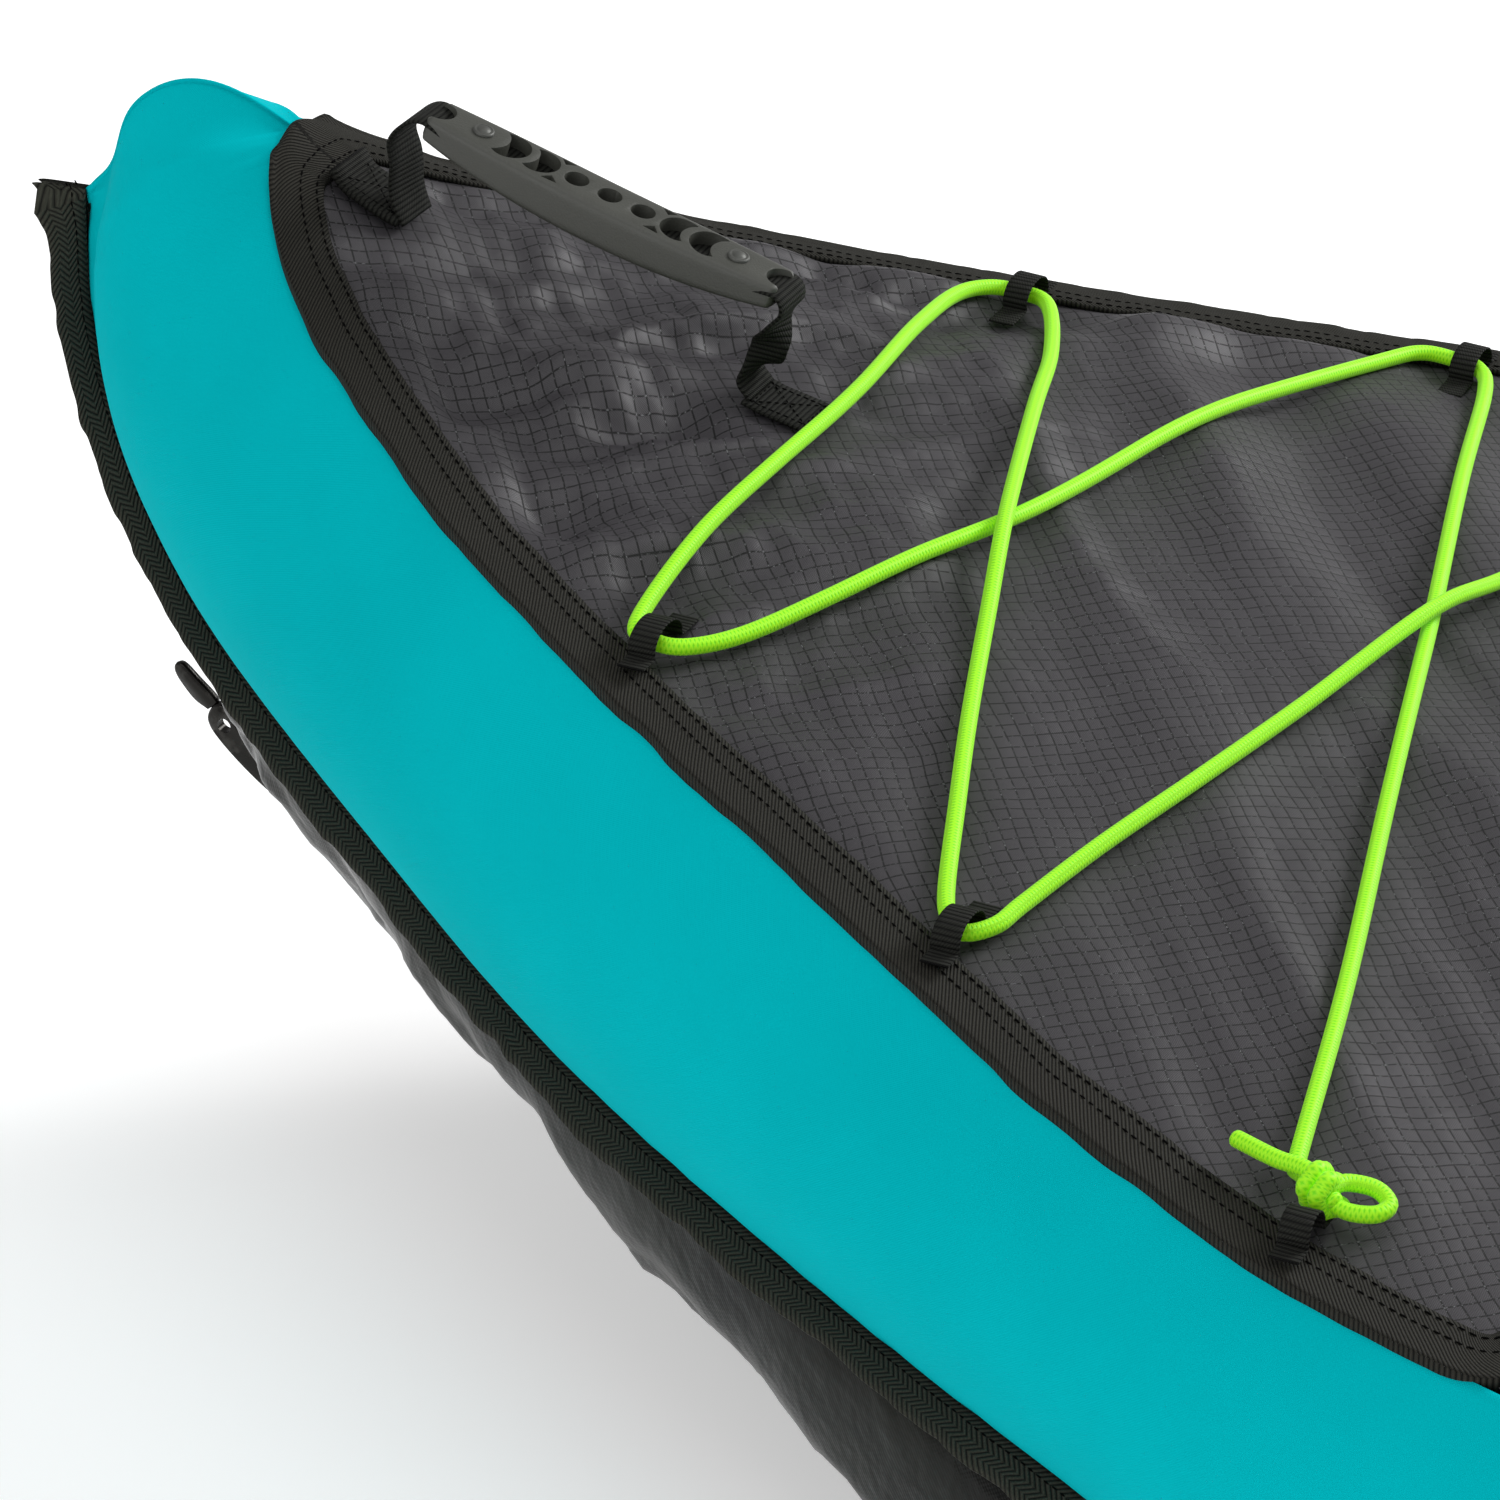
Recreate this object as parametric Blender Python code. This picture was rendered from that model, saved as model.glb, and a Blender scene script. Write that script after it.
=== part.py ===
"""Double-ended inflatable kayak with a fabric cover: metres, +X towards the bow, +Y to port, +Z up.

The origin is on the ground under the middle of the hull. Stations are distances from a tip, so the
same lines serve the bow and, turned about, the stern.
"""

import math

import bmesh
import bpy
import numpy as np
from mathutils import Matrix, Vector

# Driving dimensions, in metres.
HALF_LENGTH = 1.60
GAP = 0.0004             # clearance between touching pieces
COVER_THICKNESS = 0.0015
HULL_THICKNESS = 0.0016
DECK_THICKNESS = 0.0012
TAPE_WIDTH = 0.019
TAPE_THICKNESS = 0.0014
SEAM_FLANGE = 0.013      # how far the bound seam stands out of the side
SEAM_THICKNESS = 0.0028
SEAM_STANDOFF = 0.0026
COVER_BULGE = 0.22       # crown of the side cover, as a share of its height
CHINE_POWER = 3.2        # roundness of the hull section: 2 is an ellipse, more is boxier
FLAT_FLOOR = 0.002       # the hull's section is flat on the ground up to this height
DECK_CROWN = 0.021
TAPE_BED = 0.0012        # how far the deck's sheet lies under its nominal face, where the tape sits
DECK_END = 0.83          # station of the cockpit edge of each deck
CHAMBER_CLEARANCE = 0.007  # between a side chamber and the cover round it
CORD_DIAMETER = 0.0062
CORD_LONG_SPAN = 0.045   # a span between route points that takes one more point
WEBBING_WIDTH = 0.025
WEBBING_THICKNESS = 0.0018

# Table of offsets: station, half breadth and height of the deck seam and of the bottom seam,
# and station and height of the keel.
OFFSETS = (
    ((0.155, 0.002, 0.420), (0.056, 0.002, 0.376), (0.058, 0.370)),
    ((0.162, 0.020, 0.416), (0.064, 0.008, 0.325), (0.066, 0.315)),
    ((0.182, 0.041, 0.405), (0.085, 0.020, 0.277), (0.086, 0.252)),
    ((0.215, 0.069, 0.387), (0.120, 0.043, 0.238), (0.116, 0.195)),
    ((0.255, 0.102, 0.368), (0.175, 0.077, 0.205), (0.165, 0.150)),
    ((0.330, 0.150, 0.344), (0.270, 0.128, 0.176), (0.250, 0.104)),
    ((0.420, 0.198, 0.323), (0.375, 0.187, 0.153), (0.355, 0.066)),
    ((0.520, 0.248, 0.303), (0.490, 0.246, 0.139), (0.475, 0.036)),
    ((0.650, 0.312, 0.278), (0.635, 0.312, 0.128), (0.620, 0.013)),
    ((0.800, 0.356, 0.256), (0.795, 0.358, 0.110), (0.790, 0.003)),
    ((1.100, 0.376, 0.228), (1.100, 0.388, 0.070), (1.100, 0.000)),
    ((1.600, 0.376, 0.215), (1.600, 0.390, 0.055), (1.600, 0.000)),
)
DECK_SEAM = np.array([row[0] for row in OFFSETS])
BOTTOM_SEAM = np.array([row[1] for row in OFFSETS])
KEEL = np.array([row[2] for row in OFFSETS])
LAST_ROW = len(OFFSETS) - 1
DECK_LOOPS = ((0.412, 0.165), (0.575, 0.250), (0.737, 0.310))  # station and half breadth
LOOP_WIDTH = 0.008
LOOP_HEIGHT = 0.0105
LOOP_THICKNESS = 0.0012
LOOP_REACH = 0.011       # half the footprint of a loop that holds the cord
KNOT_LOOP_REACH = 0.0075
KNOT_LOOP_OFFSET = 0.0165  # how far outside the cord a knot's loop stands
KNOT_RADIUS = 0.0085
KNOT_PLACE = (0.7275, 0.3075)

# Carry handles: station and half breadth of each foot, then station and height of the grip's ends.
HANDLE_FRONT = (0.215, 0.0)
HANDLE_REAR = (0.372, 0.0)
HANDLE_FOOT_RISE = 0.0060
GRIP_FRONT = (0.231, 0.443)
GRIP_REAR = (0.383, 0.401)
GRIP_HALF_WIDTH = 0.0125
GRIP_HALF_DEPTH = 0.0085
GRIP_SAG = 0.006
GRIP_HOLE_RADIUS = 0.0052
GRIP_HOLES = (0.40, 0.50, 0.60)   # shares of the grip's length
GRIP_RIVETS = (("front", 0.13), ("rear", 0.87))
HANDLE_PATCHES = (("front", 0.1805, 0.2110), ("rear", 0.3735, 0.3965))  # first and last station

# Seat
SEAT_REAR = -0.32
SEAT_FRONT = 0.06
SEAT_TOP = 0.140
SEAT_BASE = 0.0838
SEAT_HALF_WIDTH = 0.168
SEAT_ROUNDING = 0.018
HINGE_HEIGHT = 0.150
BACKREST_HEIGHT = 0.345
BACKREST_LEAN = -12      # degrees from upright
STRAP_TOP = 0.405
STRAP_SLACK = 0.035      # how far the middle of a strap hangs under its ends
STRAP_ANCHOR = (0.205, 0.2025, 0.232)
BUCKLE = ((0.212, 0.214), (0.247, 0.250))  # opposite corners, along the boat and in height
BUCKLE_HALF_THICKNESS = 0.004

# Valves: radius and height of each turned profile's corners.
VALVE_STATION = 1.05
FLOOR_VALVE = (-0.60, 0.0, 0.0828)
BODY_PROFILE = (
    (0, 0.0), (0.024, 0.0), (0.024, 0.003), (0.016, 0.0042), (0.016, 0.012), (0.0125, 0.012),
    (0.0125, 0.0012), (0, 0.0012),
)
PLUNGER_PROFILE = ((0, 0.0046), (0.0045, 0.0046), (0.0045, 0.0098), (0, 0.0098))
CAP_PROFILE = ((0, 0.0124), (0.0185, 0.0124), (0.0185, 0.0165), (0.016, 0.0185), (0, 0.0185))

# Skeg, drain and tow fitting
SKEG_FRONT, SKEG_REAR = 0.470, 0.310
SKEG_DROP = 0.0030
DRAIN_STATION = 0.66
DRAIN_DROP = 0.0073
RING_PLACE = (0.160, 0.0, 0.108)
RING_RADIUS, RING_WIRE = 0.0085, 0.0018
HOOK_TIP = (0.094, 0.0, 0.168)
HOOK_HALF_THICKNESS = 0.0022
GATE_HALF_THICKNESS = 0.0016

# Station, half breadth and extra height of the cord, from the port knot to the starboard knot.
CORD_ROUTE = (
    (0.7233, 0.2987, 0.0020), (0.702, 0.203, 0.0), (0.675, 0.098, 0.0), (0.644, -0.024, 0.0),
    (0.614, -0.135, 0.0), (0.591, -0.222, 0.0), (0.580, -0.245, 0.001), (0.567, -0.2475, 0.001),
    (0.555, -0.243, 0.001), (0.546, -0.225, 0.0), (0.527, -0.162, 0.0), (0.510, -0.091, 0.0),
    (0.490, 0.010, 0.0), (0.471, 0.065, 0.0), (0.455, 0.107, 0.0), (0.438, 0.143, 0.0),
    (0.424, 0.161, 0.001), (0.412, 0.1645, 0.001), (0.402, 0.158, 0.001), (0.3995, 0.104, 0.0),
    (0.402, 0.045, 0.0), (0.403, -0.030, 0.0), (0.396, -0.095, 0.0), (0.392, -0.136, 0.0),
    (0.398, -0.156, 0.001), (0.411, -0.1635, 0.001), (0.425, -0.157, 0.001), (0.445, -0.115, 0.0),
    (0.462, -0.062, 0.002), (0.489, 0.022, 0.008), (0.508, 0.080, 0.002), (0.528, 0.139, 0.0),
    (0.546, 0.188, 0.0), (0.561, 0.228, 0.0), (0.569, 0.243, 0.001), (0.577, 0.2475, 0.001),
    (0.585, 0.238, 0.001), (0.588, 0.221, 0.0), (0.598, 0.177, 0.0), (0.612, 0.121, 0.0),
    (0.626, 0.060, 0.002), (0.644, -0.024, 0.008), (0.656, -0.075, 0.002), (0.680, -0.160, 0.0),
    (0.704, -0.235, 0.0), (0.7233, -0.2987, 0.0020),
)


def clear_scene():
    for obj in list(bpy.data.objects):
        bpy.data.objects.remove(obj, do_unlink=True)


def material(name, color, roughness, metallic=0.0):
    made = bpy.data.materials.new(name)
    made.use_nodes = True
    shader = made.node_tree.nodes["Principled BSDF"]
    shader.inputs["Base Color"].default_value = (*color, 1.0)
    shader.inputs["Roughness"].default_value = roughness
    shader.inputs["Metallic"].default_value = metallic
    return made


def finishes():
    return {
        "teal": material("teal_nylon", (0.0, 0.45, 0.50), 0.7),
        "ripstop": material("black_ripstop", (0.035, 0.033, 0.038), 0.45),
        "tape": material("black_webbing", (0.012, 0.012, 0.011), 0.75),
        "pvc": material("grey_pvc", (0.045, 0.05, 0.042), 0.3),
        "cord": material("green_cord", (0.15, 0.9, 0.0), 0.6),
        "grip": material("grey_nylon_grip", (0.045, 0.047, 0.042), 0.45),
        "steel": material("dark_steel", (0.05, 0.05, 0.05), 0.3, 0.8),
        "bladder": material("bladder_film", (0.55, 0.57, 0.58), 0.35),
        "plastic": material("black_plastic", (0.02, 0.02, 0.02), 0.4),
        "cushion": material("seat_fabric", (0.03, 0.03, 0.035), 0.85),
    }


# Lines of the boat


def fair(table, at):
    """A smooth curve through the rows of a table, read at a row number that may be a fraction."""
    table = np.asarray(table, float)
    row = min(max(int(at), 0), len(table) - 2)
    t = at - row
    first = table[row]
    last = table[row + 1]
    before = table[row - 1] if row > 0 else first
    after = table[row + 2] if row + 2 < len(table) else last
    start = (last - before) / (2 if row > 0 else 1)
    end = (after - first) / (2 if row + 2 < len(table) else 1)
    return (
        (2 * t**3 - 3 * t**2 + 1) * first
        + (t**3 - 2 * t**2 + t) * start
        + (3 * t**2 - 2 * t**3) * last
        + (t**3 - t**2) * end
    )


def row_at_station(station):
    """The row number where the deck seam passes this station."""
    low, high = 0.0, float(LAST_ROW)
    for _ in range(40):
        middle = (low + high) / 2
        if fair(DECK_SEAM, middle)[0] < station:
            low = middle
        else:
            high = middle
    return (low + high) / 2


def deck_height(station, across):
    """Height of the deck's upper face."""
    seam = fair(DECK_SEAM, row_at_station(station))
    half = seam[1]
    crown = DECK_CROWN * (1 - math.exp(-half / 0.06))
    share = min(abs(across) / half, 1.0)
    return seam[2] + crown * (1 - share**2)


def unit(vector):
    return vector / np.linalg.norm(vector)


def side_frame(at):
    """Deck seam, bottom seam and outward direction of the side at a row number."""
    top = fair(DECK_SEAM, at)
    low = fair(BOTTOM_SEAM, at)
    step = 0.05
    ahead = min(at + step, LAST_ROW)
    behind = max(at - step, 0)
    run = fair(DECK_SEAM, ahead) - fair(DECK_SEAM, behind)
    run = run + fair(BOTTOM_SEAM, ahead) - fair(BOTTOM_SEAM, behind)
    if at < step:
        run = np.array([0.0, 1.0, 0.0])
    out = unit(np.cross(top - low, run))
    return top, low, out


def side_point(at, up):
    """A point of the side cover's outer face: up is 0 at the bottom seam and 1 at the deck seam."""
    top, low, out = side_frame(at)
    height = np.linalg.norm(top - low)
    return low + up * (top - low) + out * COVER_BULGE * height * 4 * up * (1 - up)


def tube_circle(at):
    """Centre and radius of the round tube that the side cover follows."""
    top, low, out = side_frame(at)
    half = np.linalg.norm(top - low) / 2
    bulge = COVER_BULGE * 2 * half
    radius = (half**2 + bulge**2) / (2 * bulge)
    return (top + low) / 2 + out * (bulge - radius), radius


def hull_point(at, turn):
    """A point of the hull's outer face: turn runs from -1 at one seam to 1 at the other."""
    seam = fair(BOTTOM_SEAM, at)
    keel = fair(KEEL, at)
    angle = abs(turn) * math.pi / 2
    across = math.sin(angle) ** (2 / CHINE_POWER)
    down = math.cos(angle) ** (2 / CHINE_POWER)
    station = keel[0] + (seam[0] - keel[0]) * (1 - down)
    height = seam[2] - (seam[2] - keel[1]) * down
    if height < FLAT_FLOOR:
        height = 0.0
    return np.array([station, math.copysign(seam[1] * across, turn), height])


def placed(point, end=1):
    """A point given by station, half breadth and height, put at the bow (1) or the stern (-1)."""
    return Vector((end * (HALF_LENGTH - point[0]), point[1], point[2]))


# Meshes


def finish(name, points, faces, look):
    mesh = bpy.data.meshes.new(name)
    mesh.from_pydata([tuple(point) for point in points], [], faces)
    made = bpy.data.objects.new(name, mesh)
    bpy.context.scene.collection.objects.link(made)
    shape = bmesh.new()
    shape.from_mesh(mesh)
    bmesh.ops.recalc_face_normals(shape, faces=shape.faces)
    shape.to_mesh(mesh)
    shape.free()
    mesh.materials.append(look)
    mesh.shade_smooth()
    mesh.set_sharp_from_angle(angle=math.radians(40))
    return made


def sheet(name, outer, inner, look):
    """A thin wall between two grids of points of the same size."""
    rows = len(outer)
    columns = len(outer[0])
    points = [point for row in outer for point in row] + [point for row in inner for point in row]

    def number(side, row, column):
        return side * rows * columns + row * columns + column

    faces = []
    for side in (0, 1):
        for row in range(rows - 1):
            for column in range(columns - 1):
                faces.append(
                    (
                        number(side, row, column),
                        number(side, row, column + 1),
                        number(side, row + 1, column + 1),
                        number(side, row + 1, column),
                    )
                )
    edge = [(row, 0) for row in range(rows)]
    edge += [(rows - 1, column) for column in range(1, columns)]
    edge += [(row, columns - 1) for row in range(rows - 2, -1, -1)]
    edge += [(0, column) for column in range(columns - 2, 0, -1)]
    for first, second in zip(edge, edge[1:] + edge[:1]):
        faces.append((number(0, *first), number(0, *second), number(1, *second), number(1, *first)))
    return finish(name, points, faces, look)


def thick_sheet(name, grid, thickness, look, flip=False):
    """A wall of even thickness behind a grid of outer points."""
    grid = np.array(grid, float)
    along = np.gradient(grid, axis=0)
    across = np.gradient(grid, axis=1)
    normal = np.cross(along, across)
    normal /= np.linalg.norm(normal, axis=2, keepdims=True)
    if flip:
        normal = -normal
    return sheet(name, grid, grid - thickness * normal, look)


def rings(name, sections, look, closed=False):
    """A solid through rings of points: capped at both ends, or joined up if closed."""
    count = len(sections[0])
    points = [point for section in sections for point in section]
    faces = []
    spans = len(sections) if closed else len(sections) - 1
    for span in range(spans):
        start = span * count
        end = ((span + 1) % len(sections)) * count
        for corner in range(count):
            turn = (corner + 1) % count
            faces.append((start + corner, start + turn, end + turn, end + corner))
    if not closed:
        faces.append(tuple(range(count)))
        faces.append(tuple(range(len(points) - count, len(points))))
    return finish(name, points, faces, look)


def turned(name, profile, place, axis, look, segments=16):
    """A solid turned about an axis from (radius, height) pairs; its first and last are on the axis."""
    turn = Vector((0, 0, 1)).rotation_difference(Vector(axis)).to_matrix()
    place = Vector(place)
    points = [place + turn @ Vector((0, 0, profile[0][1]))]
    for radius, height in profile[1:-1]:
        for step in range(segments):
            angle = 2 * math.pi * step / segments
            spoke = Vector((radius * math.cos(angle), radius * math.sin(angle), height))
            points.append(place + turn @ spoke)
    points.append(place + turn @ Vector((0, 0, profile[-1][1])))
    faces = []
    levels = len(profile) - 2
    for step in range(segments):
        after = (step + 1) % segments
        faces.append((0, 1 + step, 1 + after))
        for level in range(levels - 1):
            low = 1 + level * segments
            faces.append((low + step, low + segments + step, low + segments + after, low + after))
        top = 1 + (levels - 1) * segments
        faces.append((top + step, len(points) - 1, top + after))
    return finish(name, points, faces, look)


def strip(name, path, sides, width, thickness, look, closed=False):
    """A flat band along a path: sides holds, for each point, the direction of its width."""
    path = [Vector(point) for point in path]
    sections = []
    for number, (point, side) in enumerate(zip(path, sides)):
        before = path[number - 1] if number or closed else path[0]
        after = path[(number + 1) % len(path)] if number + 1 < len(path) or closed else path[-1]
        side = Vector(side).normalized()
        face = (after - before).cross(side).normalized()
        half = side * width / 2
        depth = face * thickness / 2
        under, over = point - depth, point + depth
        sections.append([under - half, under + half, over + half, over - half])
    return rings(name, sections, look, closed)


def block(name, low, high, look, bevel=0.0, turn=None, about=None):
    """A box between two corners, with rounded edges, turned about a point if asked."""
    corners = [(x, y, z) for x in (low[0], high[0]) for y in (low[1], high[1]) for z in (low[2], high[2])]
    faces = [(0, 1, 3, 2), (4, 6, 7, 5), (0, 4, 5, 1), (2, 3, 7, 6), (0, 2, 6, 4), (1, 5, 7, 3)]
    made = finish(name, corners, faces, look)
    if turn is not None:
        centre = Matrix.Translation(Vector(about))
        made.data.transform(centre @ turn @ centre.inverted())
    if bevel:
        edge = made.modifiers.new("edges", "BEVEL")
        edge.width = bevel
        edge.segments = 2
    return made


def set_origin(obj, place):
    place = Vector(place)
    obj.data.transform(Matrix.Translation(-place))
    obj.location = place


def cut(obj, cutter, operation="DIFFERENCE"):
    """Applies a Boolean and removes the tool."""
    modifier = obj.modifiers.new("cut", "BOOLEAN")
    modifier.operation = operation
    modifier.object = cutter
    bpy.context.view_layer.update()
    graph = bpy.context.evaluated_depsgraph_get()
    shape = bpy.data.meshes.new_from_object(obj.evaluated_get(graph))
    obj.modifiers.clear()
    obj.data = shape
    bpy.data.objects.remove(cutter, do_unlink=True)


# Shell of the boat


def row_numbers(first, last, count):
    return [first + (last - first) * step / (count - 1) for step in range(count)]


def whole_length(half_rows):
    """Row numbers from the bow tip to the stern tip, each with the end that it belongs to."""
    return [(at, 1) for at in half_rows] + [(at, -1) for at in reversed(half_rows[:-1])]


def side_covers(look):
    half_rows = row_numbers(0.0, LAST_ROW, 17)
    inset = 0.035
    for name, side in (("port_side_cover", 1), ("starboard_side_cover", -1)):
        grid = []
        for at, end in whole_length(half_rows):
            row = []
            for step in range(7):
                point = side_point(at, inset + (1 - 2 * inset) * step / 6)
                point[1] = max(point[1], 0.0022) * side
                row.append(placed(point, end))
            grid.append(row)
        thick_sheet(name, grid, COVER_THICKNESS, look, flip=side < 0)


def hull_bottom(look):
    half_rows = row_numbers(0.0, LAST_ROW, 14)
    turns = [-0.96 + 1.92 * step / 12 for step in range(13)]
    grid = []
    for at, end in whole_length(half_rows):
        grid.append([placed(hull_point(at, turn), end) for turn in turns])
    thick_sheet("hull_bottom", grid, HULL_THICKNESS, look)


def bladder_circle(at):
    """Centre and radius of a side chamber, which narrows where the two sides meet in the ends."""
    centre, radius = tube_circle(at)
    outermost = centre[1] + radius
    radius = min(radius - CHAMBER_CLEARANCE, outermost / 2 - CHAMBER_CLEARANCE)
    centre = centre.copy()
    centre[1] = outermost - CHAMBER_CLEARANCE - radius
    station = centre[0]
    if station > DECK_END + 0.04:
        return centre, radius
    half = fair(DECK_SEAM, row_at_station(station))[1] - 0.004
    clear = False
    while not clear:
        clear = True
        for angle in range(15, 180, 15):
            across = centre[1] + radius * math.cos(math.radians(angle))
            ceiling = deck_height(station, min(abs(across), half)) - CHAMBER_CLEARANCE
            clear = clear and centre[2] + radius * math.sin(math.radians(angle)) < ceiling
        if not clear:
            radius -= 0.0005
    return centre, radius


def side_chambers(look):
    half_rows = row_numbers(3.6, LAST_ROW, 12)
    for name, side in (("port_side_chamber", 1), ("starboard_side_chamber", -1)):
        sections = []
        for number, (at, end) in enumerate(whole_length(half_rows)):
            centre, radius = bladder_circle(at)
            if number in (0, 2 * len(half_rows) - 2):
                radius *= 0.6
            section = []
            for step in range(14):
                angle = 2 * math.pi * step / 14
                across = (centre[1] + radius * math.cos(angle)) * side
                section.append(placed((centre[0], across, centre[2] + radius * math.sin(angle)), end))
            sections.append(section)
        rings(name, sections, look)


def inner_walls(look):
    """The lining of the cockpit, from the deck seam over the tube and down to the floor."""
    half_rows = row_numbers(row_at_station(DECK_END + 0.012), LAST_ROW, 7)
    for name, side in (("port_inner_wall", 1), ("starboard_inner_wall", -1)):
        grid = []
        for at, end in whole_length(half_rows):
            centre, radius = tube_circle(at)
            top = side_point(at, 1.0)
            first = math.atan2(top[2] - centre[2], top[1] - centre[1]) + 0.03
            last = math.radians(218)
            row = []
            for step in range(10):
                angle = first + (last - first) * step / 9
                across = (centre[1] + radius * math.cos(angle)) * side
                row.append(placed((centre[0], across, centre[2] + radius * math.sin(angle)), end))
            grid.append(row)
        thick_sheet(name, grid, COVER_THICKNESS, look, flip=side < 0)


def floor_chamber(look):
    """A flat pad of four rounded lengthwise tubes."""
    half_width, low, high = 0.182, 0.010, 0.082
    outline = []
    for station in (0.70, 0.74, 0.82, 1.0, 1.3, 1.6):
        share = {0.70: 0.72, 0.74: 0.86, 0.82: 0.97}.get(station, 1.0)
        lift = max(0.0, fair(KEEL, row_at_station(station))[1] - 0.001)
        section = []
        for step in range(12):
            angle = 2 * math.pi * step / 12 + math.pi / 12
            across = math.copysign(abs(math.cos(angle)) ** 0.35, math.cos(angle)) * half_width * share
            height = math.copysign(abs(math.sin(angle)) ** 0.35, math.sin(angle)) * (high - low) / 2
            section.append((station, across, (high + low) / 2 + height + lift))
        outline.append(section)
    sections = [[placed(point, 1) for point in section] for section in outline]
    sections += [[placed(point, -1) for point in section] for section in reversed(outline[:-1])]
    rings("floor_chamber", sections, look)


def decks(look):
    half_rows = row_numbers(0.0, row_at_station(DECK_END - 0.002), 13)
    for name, end in (("bow_deck", 1), ("stern_deck", -1)):
        grid = []
        for at in half_rows:
            seam = fair(DECK_SEAM, at)
            half = max(seam[1] - 0.004, 0.0015)
            row = []
            for step in range(11):
                across = half * (2 * step / 10 - 1)
                height = deck_height(seam[0], across) - TAPE_BED
                row.append(placed((seam[0], across, height), end))
            grid.append(row)
        thick_sheet(name, grid, DECK_THICKNESS, look, flip=end > 0)


def deck_outline():
    """Outer edge of the tape that runs all round a deck, as station and half breadth."""
    edge = []
    for at in row_numbers(0.0, row_at_station(DECK_END - 0.035), 22)[1:]:
        seam = fair(DECK_SEAM, at)
        edge.append((seam[0], seam[1]))
    corner_station, corner_half = edge[-1]
    for angle in (30, 60, 90):
        turn = math.radians(angle)
        edge.append(
            (
                corner_station + 0.035 * math.sin(turn),
                corner_half + 0.008 - 0.035 * (1 - math.cos(turn)),
            )
        )
    end_half = edge[-1][1]
    across = [(edge[-1][0], end_half * (1 - 2 * step / 8)) for step in range(1, 8)]
    starboard = [(station, -half) for station, half in reversed(edge)]
    nose = [(DECK_SEAM[0][0], 0.0)]
    return edge + across + starboard + nose


def deck_bindings(look):
    outline = np.array(deck_outline())
    count = len(outline)
    for name, end in (("bow_deck_binding", 1), ("stern_deck_binding", -1)):
        sections = []
        for number in range(count):
            ahead = outline[(number + 1) % count] - outline[number - 1]
            inward = unit(np.array([ahead[1], -ahead[0]]))
            section = []
            for share in (0.0, 0.5, 1.0):
                station, across = outline[number] + inward * TAPE_WIDTH * share
                inside = max(station, DECK_SEAM[0][0] + 0.0005)
                height = deck_height(inside, across) + 2 * GAP
                section.append((station, across, height))
            upper = [(a, b, c + TAPE_THICKNESS) for a, b, c in reversed(section)]
            sections.append([placed(point, end) for point in section + upper])
        rings(name, sections, look, closed=True)


def seam_bindings(look):
    """The bound seam between side and hull, a flange that follows the bottom seam round to each tip."""
    half_rows = row_numbers(0.0, LAST_ROW, 30)
    for name, side in (("port_seam_binding", 1), ("starboard_seam_binding", -1)):
        sections = []
        for at, end in whole_length(half_rows):
            top, low, out = side_frame(at)
            outward = unit(out * 0.75 + np.array([-0.15, 0.25, -0.55]) * min(1.0, at / 2))
            along = unit(top - low)
            section = []
            for reach, rise in ((0, -1), (1, -1), (1, 1), (0, 1)):
                point = low + outward * (SEAM_STANDOFF + reach * SEAM_FLANGE)
                point += along * rise * SEAM_THICKNESS / 2
                point[1] = max(point[1], 0.0008)
                section.append(placed((point[0], point[1] * side, point[2]), end))
            sections.append(section)
        rings(name, sections, look)


# Carry handles


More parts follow.
